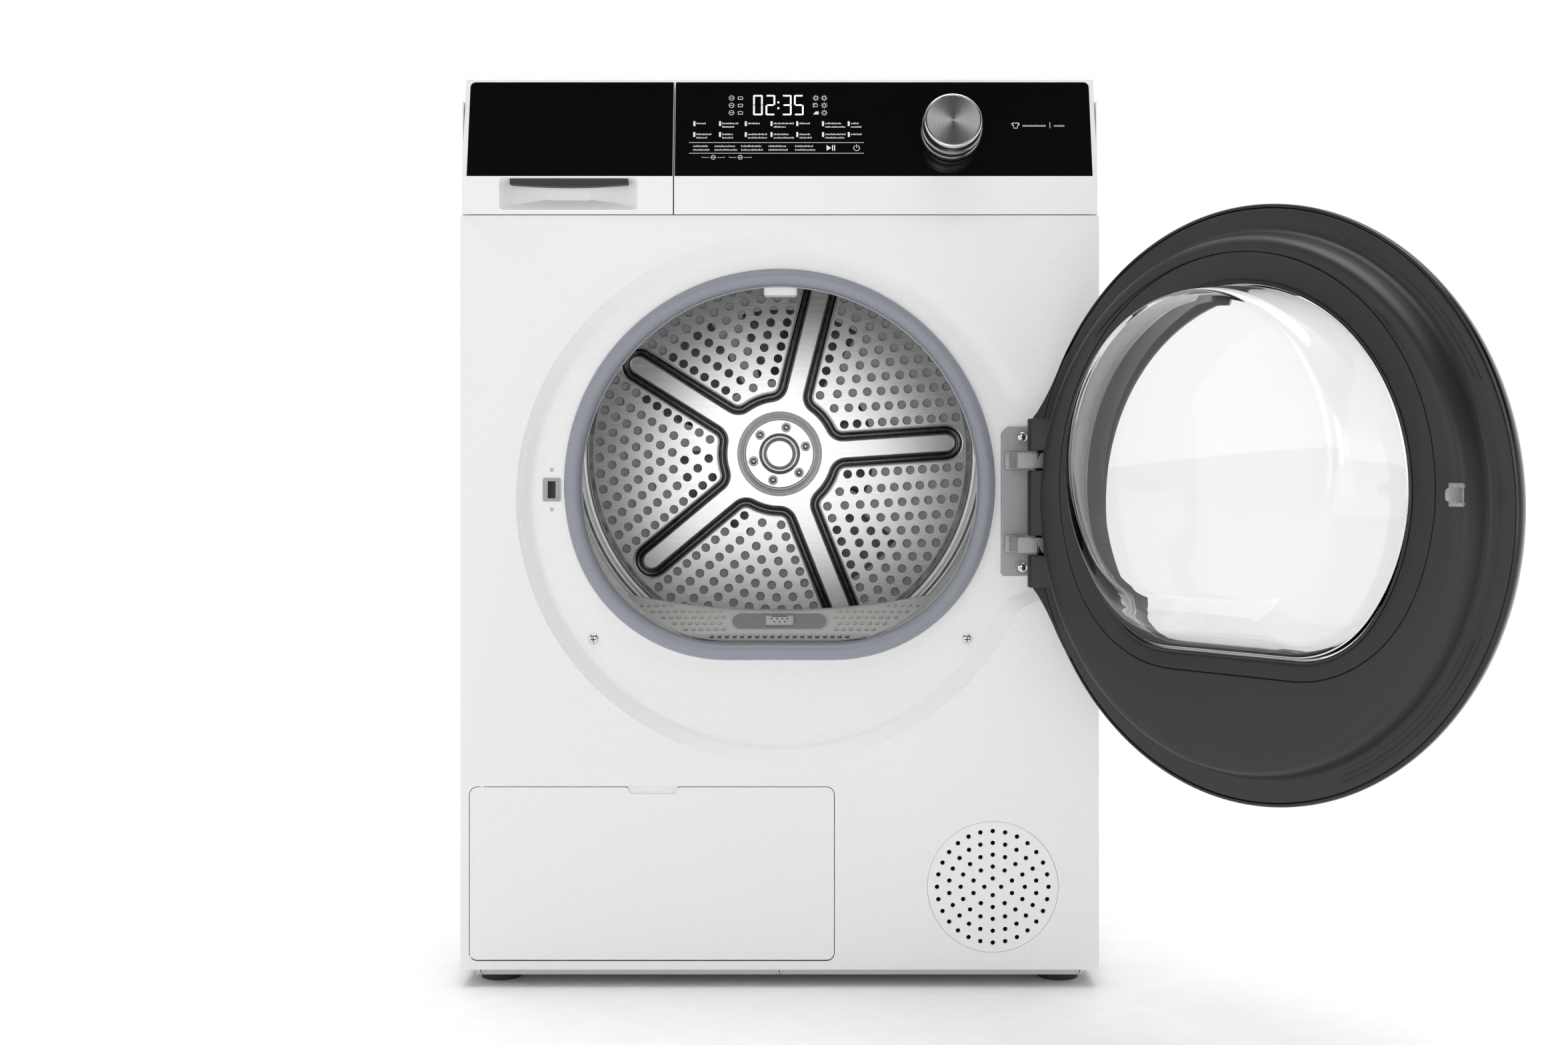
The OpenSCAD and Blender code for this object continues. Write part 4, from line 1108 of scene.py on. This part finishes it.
def hood_places():
    """Staggered rows of slots, clear of the handle and the edges."""
    places = []
    for row in range(6):
        z = 325.2 + 5.3 * row
        for i in range(-20, 21):
            x = 7.1 * (i + 0.5 * (row % 2))
            clear_of_handle = abs(x) > 51 or z < CREASE_Z
            if clear_of_handle and filter_bottom(x) + 3.4 < z < filter_top(x) - 2.6:
                places.append((x, z))
    return places


SLOPE = Matrix.Rotation(-math.atan2(RUN, RISE), 4, "X")


def dome(x, z, size, out, up, rows):
    """A flattened ball on the face at (x, z), standing out of it and shifted up by a little."""
    bm = bmesh.new()
    bmesh.ops.create_uvsphere(bm, u_segments=10, v_segments=rows, radius=1)
    bmesh.ops.scale(bm, vec=size, verts=bm.verts)
    tilt = SLOPE if z > CREASE_Z else Matrix.Identity(4)
    return moved(bm, Matrix.Translation((x, slope_y(z) - out, z + up)) @ tilt)


hoods = [dome(x, z, (2.5, 1.5, 1.35), 0, 0.55, 6) for x, z in hood_places()]
# Under each hood sits a flattened black dome: painted shade standing in for the dark opening of the slot.
slots = [dome(x, z, (2.3, 0.7, 0.95), 0.1, -1.1, 4) for x, z in hood_places()]     # dark, under each hood
filter_body = block((-120.5, 30.5, FILTER_BOTTOM), (120.5, 57.5, 321), 1.5)
make_piece("lint_filter_face", joined(filter_face(), filter_body, *hoods),
           MATERIALS["filter_plastic"], "filter", ["lint_filter"])
make_piece("lint_filter_slot_shade", joined(*slots),
           MATERIALS["black_plastic"], "filter", ["lint_filter"])
print("filter slots:", len(slots))

# %% Filter handle
HANDLE_Z = 338.2


def on_slope(shape, proud=0.0):
    """Carries an upright shape about (0, 0, 0) onto the sloping face, a little proud of it."""
    return moved(shape, Matrix.Translation((0, slope_y(HANDLE_Z) - proud, HANDLE_Z)) @ SLOPE)


handle_rim = skin([(rect_outline(-47, 47, -11.6, 11.6, 11, 8), 0.2),
                   (rect_outline(-46, 46, -10.6, 10.6, 10, 8), -0.7),
                   (rect_outline(-45, 45, -9.6, 9.6, 9, 8), -0.6),
                   (rect_outline(-44, 44, -8.6, 8.6, 8, 8), 0.8)])
handle_floor = plate([rect_outline(-45, 45, -9.6, 9.6, 9, 8)], -0.15, -0.15)
clasp = block((-13.5, -2.6, -5.6), (13.5, 0.4, 5.4), 1.2, 3)
make_piece("filter_handle_rim", on_slope(joined(handle_rim, clasp)), MATERIALS["filter_plastic"], "filter",
           ["lint_filter"])
make_piece("filter_handle_floor", on_slope(handle_floor, 0.1), MATERIALS["hose_plastic"], "filter",
           ["lint_filter"])
# The clasp's holes and slit are flat black discs and a bar on its face: painted shade for the openings.
dots = [ring_outline(-7.5 + 5 * i, 0.9, 0.9, 10) for i in range(4)] + [ring_outline(-5 + 5 * i, -2.6, 0.9,
                                                                                    10)
                                                                     for i in range(3)]
slit = rect_outline(-8, 8, 3.4, 4.4, 0.45, 3)
make_piece("filter_clasp_hole_shade", on_slope(joined(*[plate([o], -2.66, -2.66) for o in dots + [slit]])),
           MATERIALS["black_plastic"], "filter", ["lint_filter"])
print("handle made")

# %% [markdown]
# ## Hinge and lock
# The hinge is a die-cast plate with two arms. Each arm leaves the plate, turns a tight bend and
# ends in an eye round the door's pin.
# %% Hinge
ARM_Z = (413.0, 490.5)
HINGE_SCREWS = ((227, 390.5), (227, 512.7))


def standing(outline, z0, z1, bevel=0.0):
    """A prism that stands on an (x, y) outline, with its edges rounded."""
    bm = plate([outline], -z1, -z0)
    upright = Matrix(((1, 0, 0, 0), (0, 0, 1, 0), (0, -1, 0, 0), (0, 0, 0, 1)))
    return rounded(moved(bm, upright), bevel, 3)


def hinge_plate():
    """The base plate with its clipped corners, standing on the dish's floor."""
    x0, x1, z0, z1 = 207, 257, 382.8, 522.4
    outline = [(x0, z0 + 2), (x0 + 2, z0), (x1, z0), (x1, z1), (x0 + 6, z1), (x0, z1 - 6)]
    return plate([outline], FLOOR_Y - 3, FLOOR_Y)


def hinge_arm(z):
    """One arm: a wedge at the plate, a straight flank, a tight bend and the eye."""
    eye = arc(hinge.x, hinge.y, 6.4, 165, -90, 20)
    outline = ([(213.5, FLOOR_Y - 2.9), (227, FLOOR_Y - 2.9), (222.4, 2), (222, -19), (224, -23.5),
                (228, -25.6)]
               + eye + [(221, -32.4), (218, -31.4), (216.4, -29), (216, -25), (215.6, 2)])
    return standing(outline, z - 7.2, z + 7.2, 0.7)


make_piece("hinge_plate", hinge_plate(), MATERIALS["zinc"], "cabinet", ["hinge_bracket"], bevel=0.9)
arms = joined(*[hinge_arm(z) for z in ARM_Z],
              *[block((210, FLOOR_Y - 5.5, z - 8.8), (228.5, FLOOR_Y - 2.6, z + 8.8), 1.6) for z in ARM_Z])
make_piece("hinge_arms", arms, MATERIALS["zinc"], "cabinet", ["hinge_bracket"])
bosses = joined(*[turned([(7.2, FLOOR_Y - 3), (6.8, FLOOR_Y - 3.8), (5.6, FLOOR_Y - 3.9),
                          (5.2, FLOOR_Y - 3.2)],
                         x, z, 40) for x, z in HINGE_SCREWS])
make_piece("hinge_screw_bosses", bosses, MATERIALS["zinc"], "cabinet", ["hinge_bracket"])
print("hinge arms at", ARM_Z)

# %% Dimples beside the lock
dimples = joined(*[turned([(0, FLOOR_Y - 0.15), (1.2, FLOOR_Y - 0.2), (2, FLOOR_Y - 0.05)], lock_x, lock_z
                          + dz, 24)
                   for dz in (18.6, -18.4)])
make_piece("lock_dimples", dimples, MATERIALS["base_plastic"], "cabinet", ["front_panel"])

# %% [markdown]
# ## Door
# The door is drawn closed and then swung to the angle it has in the model. Its inner face is one
# loft: circles at the rim, easing through the raised crest into the D round the window. The bowl
# is a thick glass pressing, closed on itself, so that light bends in it properly.
# %% Door face
DOOR_Z = 453.0
WINDOW_Z = 466.0
ARM_ROOM = 8.9                                # half the height kept free round each hinge arm
SLOT_X = 208.5                                # where that room starts
GAP_LOW, GAP_HIGH = ARM_Z[0] - ARM_ROOM, ARM_Z[1] + ARM_ROOM


def by_angle(outline, steps=192):
    """The same outline with points spaced evenly by angle, so that unlike rings can be bridged."""
    polar = sorted((math.atan2(z - WINDOW_Z, x) % math.tau, math.hypot(x, z - WINDOW_Z)) for x,
                   z in outline)
    polar = [(polar[-1][0] - math.tau, polar[-1][1])] + polar + [(polar[0][0] + math.tau, polar[0][1])]
    points, at = [], 0
    for i in range(steps):
        a = math.tau * i / steps
        while polar[at + 1][0] < a:
            at += 1
        (a0, r0), (a1, r1) = polar[at], polar[at + 1]
        across = r0 * math.sin(a - a0) + r1 * math.sin(a1 - a)         # stays on the straight between them
        r = r0 * r1 * math.sin(a1 - a0) / across if across > 1e-9 else r0
        points.append((r * math.cos(a), WINDOW_Z + r * math.sin(a)))
    return points


def rim_ring(r):
    return by_angle(ring_outline(0, DOOR_Z, r, 288))


def window_ring(r, up=0.0):
    return by_angle(d_outline(WINDOW_Z + up, r, 0.808 * r, 0.5 * r))


def engraved_ring(r):
    return by_angle(d_outline(468, r, 151 + r - 188.6, 120 + r - 188.6))


def cut_arm_slots(bm):
    """Opens the face where the hinge's arms pass it when the door is shut."""
    for z in ARM_Z:
        for place, across in (((0, 0, z - ARM_ROOM), (0, 0, 1)), ((0, 0, z + ARM_ROOM), (0, 0, 1)),
                              ((SLOT_X, 0, 0), (1, 0, 0))):
            bmesh.ops.bisect_plane(bm, geom=bm.verts[:] + bm.edges[:] + bm.faces[:], dist=0.001,
                                   plane_co=place, plane_no=across)
    middles = [(face, face.calc_center_median()) for face in bm.faces]
    in_the_way = [face for face, at in middles
                  if at.x > SLOT_X and any(abs(at.z - z) < ARM_ROOM for z in ARM_Z)]
    bmesh.ops.delete(bm, context="FACES", geom=in_the_way)
    return bm


def door_face():
    """The inner moulding, from its rim to the edge of the window."""
    rings = [(rim_ring(r), y) for r, y in
             ((240.2, -20), (239.6, -18.3), (238.4, -17.8), (228, -17.5), (223, -16.9), (221, -15.4),
              (219.4, -11),
              (217.4, -4.5), (215.4, 0.4), (212.8, 3.0), (209.5, 4.1), (204, 4.3))]
    rings += [(engraved_ring(r), y) for r, y in ((193, 3.2), (189.7, 2.7), (189.1, 1.7), (188.5, 2.6),
                                                 (185, 2.2))]
    rings += [(window_ring(r), y) for r, y in ((171, 0.9), (168.6, 0.5), (167.4, -0.6), (166.9, -3),
                                               (166.7, -9))]
    return cut_arm_slots(skin(rings))


make_piece("door_inner_face", door_face(), MATERIALS["door_plastic"], "door",
           ["door_inner_frame"], place=OPENED, sharp=50)

# %% Grip grooves


def groove_arc(r, start, end):
    """A fine raised line on the rim, following it."""
    bm = bmesh.new()
    a = math.radians(start)
    centre = Vector((r * math.cos(a), -17.45, DOOR_Z + r * math.sin(a)))
    outward = Vector((math.cos(a), 0, math.sin(a)))
    section = [bm.verts.new(centre + outward * (0.7 * math.cos(t)) + Vector((0, 0.55 * math.sin(t), 0)))
               for t in (0, 0.8, 1.57, 2.34, 3.14)]
    edges = [bm.edges.new(pair) for pair in zip(section, section[1:])]
    bmesh.ops.spin(bm, geom=section + edges, cent=(0, 0, DOOR_Z), axis=(0, -1, 0),
                   angle=math.radians(end - start),
                   steps=24)
    return bm


grooves = [groove_arc(r, a - short, b + short) for a, b in ((116, 154), (206, 244))
           for r, short in ((224.5, 0), (228.5, 1.2), (232.5, 2.4))]
make_piece("door_grip_lines", joined(*grooves), MATERIALS["door_plastic"], "door",
           ["door_inner_frame"], place=OPENED)

# %% Hinge tab


def barrel_outline():
    """The tab's section: a round barrel about the pin, running into the door's rim."""
    return [(196, -38.5), (232, -38.8)] + arc(hinge.x, hinge.y, 12.9, -90, 90, 16) + [(230, -17.6),
                                                                                      (196, -17.8)]


def tab_cheek(z0, z1):
    return standing(barrel_outline(), z0, z1, 1.6)


cheeks = [tab_cheek(374.2, GAP_LOW), tab_cheek(ARM_Z[0] + ARM_ROOM, ARM_Z[1] - ARM_ROOM),
          tab_cheek(GAP_HIGH, 529)]
TAB_MIDDLE = 451.6
shoulder = [(196, 138), (205, 129), (212, 119), (218.5, 108.5), (225, 99), (231.5, 90.5), (238, 83),
            (243, 78.5),
            (244.5, 76)]                       # distance from the axis, and from the tab's middle
fairing = [*[plate([[(x, TAB_MIDDLE + side * rise) for x, rise in shoulder] + [(238, edge), (196, edge)]],
                   -36.6, -18.2) for side, edge in ((1, GAP_HIGH), (-1, GAP_LOW))],
           plate([[(196, GAP_LOW), (SLOT_X, GAP_LOW), (SLOT_X, GAP_HIGH), (196, GAP_HIGH)]], -37.6, -18.2),
           plate([[(196, 370), (232, 370), (232, 534), (196, 534)]], -38, -34.2)]
make_piece("door_hinge_tab", joined(*cheeks, *fairing), MATERIALS["door_plastic"], "door",
           ["door_inner_frame"], place=OPENED)
print("door face and tab made")

# %% Outer trim


def trim_ring():
    """The gloss trim ring: a rounded outer edge that turns in to hold the window."""
    profile = ((240.6, -18.1), (242.6, -18.3), (243.4, -19.4), (243.5, -21), (242.7, -25), (240.2, -31),
               (236.6, -36.6), (231.5, -41.4), (225, -44.4), (215, -45.9), (184, -44.6), (178, -42.6),
               (175.2, -41), (172.2, -40.6), (172.2, -37.6), (180.4, -37.6), (184, -41.2), (215, -42.8),
               (224, -41.2), (230, -37.8), (235, -32), (238.8, -26), (240.5, -19))
    return turned(list(profile), 0, DOOR_Z, 192)


make_piece("door_trim_ring", trim_ring(), MATERIALS["door_gloss"], "door",
           ["door_outer_ring"],
           place=OPENED, sharp=40)

# %% Window rim, pane and bowl


def window_collar():
    """The black collar between the door's face and the glass."""
    return skin([(window_ring(r), y) for r, y in ((168.2, 0.8), (166.4, 1.0), (165.2, 0.2), (164.7, -2),
                                                  (164.5, -30),
                                                  (172.4, -37.4))])


make_piece("door_window_collar", window_collar(), MATERIALS["door_gloss"], "door",
           ["door_inner_frame"], place=OPENED)
pane = turned([(0, -44), (172, -44), (174.2, -43.4), (174.8, -42.4), (174.8, -41.4), (174.2, -41),
               (0, -41)],
              0, DOOR_Z, 128)
make_piece("door_window_pane", pane, MATERIALS["clear_glass"], "door", ["door_window"],
           place=OPENED)


def bowl_rings(path):
    return [(window_ring(r, min(max(163.4 - r, 0) * 0.8, 22)), y) for r, y in path]


def closed_bowl():
    """Outer and inner skins, each capped in the middle and joined round the rim."""
    outer = ((163.4, -3), (163.2, 2), (161.8, 8), (159.4, 15), (156, 23), (151.6, 31), (146.6, 38.4),
             (142.4, 43.6),
             (138.4, 46.8), (133.6, 48.5), (127, 49))
    inner = ((124, 45), (131, 44.5), (135.2, 42.9), (138.8, 39.9), (142.6, 35),
             (147.4, 27.8), (151.6, 20.6), (155.2, 12.8), (157.6, 6), (159.2, 0), (159.4, -3))
    front = skin(bowl_rings(outer))
    back = skin(bowl_rings(inner))
    rim = skin(bowl_rings(((163.4, -3), (159.4, -3))))
    caps = [plate([window_ring(r, 22)], y, y) for r, y in ((127, 49), (124, 45))]
    return joined(front, back, rim, *caps)


bowl = make_piece("door_bowl_glass", closed_bowl(), MATERIALS["clear_glass"], "door",
                  ["door_glass_bowl"], place=OPENED, sharp=60)
print("bowl faces:", len(bowl.data.polygons))

# %% Latch hook


def sideways(outline, x0, x1, bevel=0.0):
    """A plate with a (depth, height) outline, from x0 to x1."""
    bm = plate([outline], -x1, -x0)
    return rounded(moved(bm, Matrix.Rotation(math.radians(90), 4, "Z")), bevel, 2)


HOOK_X, HOOK_Z = -212.1, 463.4
tongue = [(4.2, -5.4), (20, -5.4), (23.5, -3.6), (24, 0), (23.5, 3.6), (20, 5.4), (4.2, 5.4)]
tongue = [(y, HOOK_Z + z) for y, z in tongue]
base = block((HOOK_X - 2, 4.3, HOOK_Z - 8.6), (HOOK_X + 10, 6.4, HOOK_Z + 8.6), 0.8)
ears = [block((HOOK_X - 3.4, 5.4, HOOK_Z + side * 6.4 - 1.4), (HOOK_X + 5, 10, HOOK_Z + side * 6.4 + 1.4),
              0.7) for side in (-1, 1)]
hook = joined(sideways(tongue, HOOK_X - 1.2, HOOK_X + 1.2, 0.4), base, *ears)
make_piece("door_hook", hook, MATERIALS["zinc"], "door", ["door_latch_hook"], place=OPENED)
print("hook made")

# %% [markdown]
# ## Display
# The marks on the glass are printed or lit from behind. They are thin white shapes just above the
# glass: a clock, two rows of programme bars, a strip of touch keys and small round symbols. The
# labels stay unreadable dashes.
# %% Marks on the glass
INK = -0.04                                   # just above the glass


def ink(outline):
    return plate([outline], INK, INK)


def dash(x0, x1, s0, s1):
    return ink([(x0, s0), (x1, s0), (x1, s1), (x0, s1)])


def thin_ring(cx, s, r, width, start=0, end=360, steps=28):
    """A ring or an arc of a given stroke width."""
    outer = arc(cx, s, r + width / 2, start, end, steps)
    inner = arc(cx, s, r - width / 2, end, start, steps)
    if end - start == 360:
        return plate([outer[:-1], inner[:-1]], INK, INK)
    return ink(outer + inner)


def digit(x, s, w, h, lit):
    """A seven-segment figure: lit names its segments a to g."""
    t = 1.45
    mid = s + h / 2
    bars = {"a": (x + t * .6, x + w - t * .6, s + h - t, s + h),
            "d": (x + t * .6, x + w - t * .6, s, s + t),
            "g": (x + t, x + w - t, mid - t / 2, mid + t / 2),
            "f": (x, x + t, mid + .4, s + h - .5), "b": (x + w - t, x + w, mid + .4, s + h - .5),
            "e": (x, x + t, s + .5, mid - .4), "c": (x + w - t, x + w, s + .5, mid - .4)}
    return [dash(*bars[name]) for name in lit]


def clock_marks():
    marks = []
    for x, lit in ((-24.8, "abcdef"), (-13.1, "abged"), (2.3, "abgcd"), (13.6, "afgcd")):
        marks += digit(x, 61.8, 8.9, 20.6, lit)
    return marks + [dash(-2.0, -0.4, 68, 69.8), dash(-2.0, -0.4, 74, 75.8)]


def sun(x, s):
    rays = [ink([(x + (2 + k) * math.cos(a + d), s + (2 + k) * math.sin(a + d))
                 for k, d in ((0, -.13), (1, -.09), (1, .09), (0, .13))]) for a in
            [math.radians(45 * i) for i in range(8)]]
    return [thin_ring(x, s, 1.5, 0.4)] + rays


def symbol_marks():
    """Six small symbols on each side of the clock."""
    marks = []
    for s in (79.3, 71.8, 64.3):
        marks += [thin_ring(-45.1, s, 2.3, 0.45), dash(-46.4, -43.8, s - 0.25, s + 0.25),
                  dash(-39.2, -34.6, s - 1.7, s - 1.2), dash(-39.2, -38.7, s - 1.7, s + 1.4),
                  dash(-35.1, -34.6, s - 1.7, s + 1.4), dash(-38.2, -35.6, s + 1, s + 1.5)]
        marks += sun(41.9, s)
    marks += sun(34.1, 79.3)
    marks += [thin_ring(34.1, 71.8, 1.6, 0.4), dash(31.4, 31.9, 69.6, 74), dash(31.4, 35, 73.6, 74),
              ink([(31.4, 62.6), (36.6, 62.6), (36.6, 65.6), (34, 65.6)])]
    return marks


def label(x, s, width):
    """A short unreadable label: small strokes of uneven length."""
    strokes, at = [], x
    while at < x + width - 0.6:
        step = 0.75 + 0.35 * abs(math.sin(at * 7.3 + s))
        strokes.append(dash(at, at + step * 0.72, s, s + 1.15 + 0.45 * (math.sin(at * 11.7) > 0.5)))
        at += step + 0.28
    return strokes


def programme_marks():
    """Two rows of seven bars, each with its label."""
    marks = []
    widths = (((9,), (14, 11)), ((15, 12), (11, 11)), ((11,), (19, 19)), ((19, 12), (14, 20)),
              ((10,), (10, 12)),
              ((15, 20), (20, 19)), ((8, 10), (11,)))
    for column in range(7):
        x = -80.8 + 24.1 * column
        for row, top in enumerate((55.6, 44.6)):
            marks.append(dash(x, x + 1.9, top - 4.8, top))
            for line, width in enumerate(widths[column][row]):
                marks += label(x + 3.1, top - 2.9 - 3.5 * line, width * 0.98)
    return marks


def key_marks():
    """The strip of touch keys between two lines, and the brackets under it."""
    marks = [dash(-84.5, 78.7, 33.9, 34.3), dash(-84.5, 78.7, 23.1, 23.5)]
    for x0, x1 in ((-80.7, -65.7), (-60.7, -38.9), (-35.8, -15.3), (-10.3, 8.4), (14.6, 33.9)):
        marks += label(x0, 29.7, (x1 - x0) * 0.9) + label(x0, 26, x1 - x0)
    marks += [ink([(43.9, 25.9), (48.2, 28.7), (43.9, 31.5)]), dash(49, 49.9, 25.9, 31.5),
              dash(50.9, 51.8, 25.9, 31.5)]
    marks += [thin_ring(71.9, 28.6, 2.7, 0.55, 120, 420), dash(71.6, 72.2, 28.8, 32)]
    for x0, x1 in ((-72.5, -51.3), (-47, -26.4)):
        mid = (x0 + x1) / 2
        marks += [dash(x0, mid - 3.6, 18.8, 19.1), dash(mid + 3.6, x1, 18.8, 19.1),
                  dash(x0, x0 + 0.3, 18.8, 20),
                  dash(x1 - 0.3, x1, 18.8, 20), thin_ring(mid, 19.2, 2, 0.45),
                  dash(mid - 1.4, mid + 1.4, 18.9, 19.4)]
    return marks


def shirt_mark(x, s):
    """A small garment outline at the right of the glass."""
    points = [(-4, 1.8), (-1.6, 3), (0, 2.2), (1.6, 3), (4, 1.8), (3, -0.2), (2, 0.3), (2, -3), (-2, -3),
              (-2, 0.3),
              (-3, -0.2)]
    outer = [(x + u, s + v) for u, v in points]
    inner = [(x + u * 0.8, s - 0.05 + v * 0.8) for u, v in points]
    return plate([outer, inner], INK, INK)


def printed_white():
    """Ceramic ink lit from behind: white, with a little light of its own."""
    material, tree, shader, where = start_material("backlit_white_ink", "f2f2f2", 0.5,
                                                   Emission_Strength=0.75)
    shader.inputs["Emission Color"].default_value = linear("f6f6f6")
    noise = grain(tree, shader, where, 0.6, 0.002)
    tint(tree, shader, noise, "Fac", "ececec", "f6f6f6")
    return material


def grey_ink():
    """Light grey ceramic ink, with only a breath of light behind it."""
    material, tree, shader, where = start_material("grey_ceramic_ink", "d8d9da", 0.5,
                                                   Emission_Strength=0.25)
    shader.inputs["Emission Color"].default_value = linear("e4e5e6")
    noise = grain(tree, shader, where, 0.6, 0.002)
    tint(tree, shader, noise, "Fac", "d0d1d2", "dddedf")
    return material


lit_ink, dull_ink = printed_white(), grey_ink()
make_piece("display_clock", joined(*clock_marks()), lit_ink, "cabinet", place=ON_LEAN)
make_piece("display_marks", joined(*symbol_marks(), *programme_marks(), *key_marks()), dull_ink, "cabinet",
           place=ON_LEAN)
garment = joined(shirt_mark(221, 51.4), *label(227.5, 50.3, 22), dash(253, 253.4, 48.5, 54.5),
                 *label(257, 50.3, 10))
make_piece("display_garment", garment, dull_ink, "cabinet", place=ON_LEAN)
print("display marks made")

# %% [markdown]
# ## Behind the air holes
# The duct's spider sits a few millimetres behind the drum and is what shows through most of the
# holes. Its windows leave the others dark.
# %% Duct spider


def spider():
    windows = []
    for middle, half, r0, r1 in ((81, 24, 88, 172), (140, 22.5, 88, 178), (2, 29, 76, 112),
                                 (198, 20, 76, 124),
                                 (312, 12, 106, 172), (238, 10, 76, 108)):
        angles = [math.radians(middle - half + half * i / 8) for i in range(17)]
        windows.append([(r1 * math.cos(a), DRUM_Z + r1 * math.sin(a)) for a in angles]
                       + [(r0 * math.cos(a), DRUM_Z + r0 * math.sin(a)) for a in reversed(angles)])
    return plate([ring_outline(0, DRUM_Z, 221, 96), ring_outline(0, DRUM_Z, 44, 48), *windows], 494.6,
                 495.6)


make_piece("duct_spider", spider(), MATERIALS["white_enamel"], "cabinet")
print("spider made")

# %% [markdown]
# ## Screws in the front
# Cross-head screws hold the panel, the hinge and the plinth. The recess of each cross is dark with
# shade, here painted as black bars, and that is what the eye finds first.
# %% Cross-head screws
SCREWS = [(-174.2, 323.5, FLOOR_Y, 4.5), (175.2, 323.5, FLOOR_Y, 4.5),
          *[(x, z, FLOOR_Y - 3, 4.5) for x, z in HINGE_SCREWS],
          *[(x, 13.2, 12, 3) for x in (-279.6, 0, 280.7)]]      # x, z, depth of the seat, radius


def pan_head(x, z, y, r):
    """A low rounded head."""
    return turned([(r, y), (r, y - 0.3 * r), (0.82 * r, y - 0.48 * r), (0.5 * r, y - 0.56 * r),
                   (0, y - 0.58 * r)],
                  x, z, 32)


def cross_painted_shade(x, z, y, r):
    """The shade in a head's cross recess, painted as two short black bars just proud of it."""
    top, w = y - 0.6 * r, 0.11 * r
    return joined(block((x - 0.55 * r, top, z - w), (x + 0.55 * r, y - 0.2 * r, z + w)),
                  block((x - w, top, z - 0.55 * r), (x + w, y - 0.2 * r, z + 0.55 * r)))


make_piece("front_screw_heads", joined(*[pan_head(x, z, y, r) for x, z, y, r in SCREWS]),
           MATERIALS["screw_steel"], "cabinet", ["front_screws"])
make_piece("front_screw_cross_shade", joined(*[cross_painted_shade(x, z, y, r) for x, z, y, r in SCREWS]),
           MATERIALS["black_plastic"], "cabinet", ["front_screws"])
print("screws:", len(SCREWS))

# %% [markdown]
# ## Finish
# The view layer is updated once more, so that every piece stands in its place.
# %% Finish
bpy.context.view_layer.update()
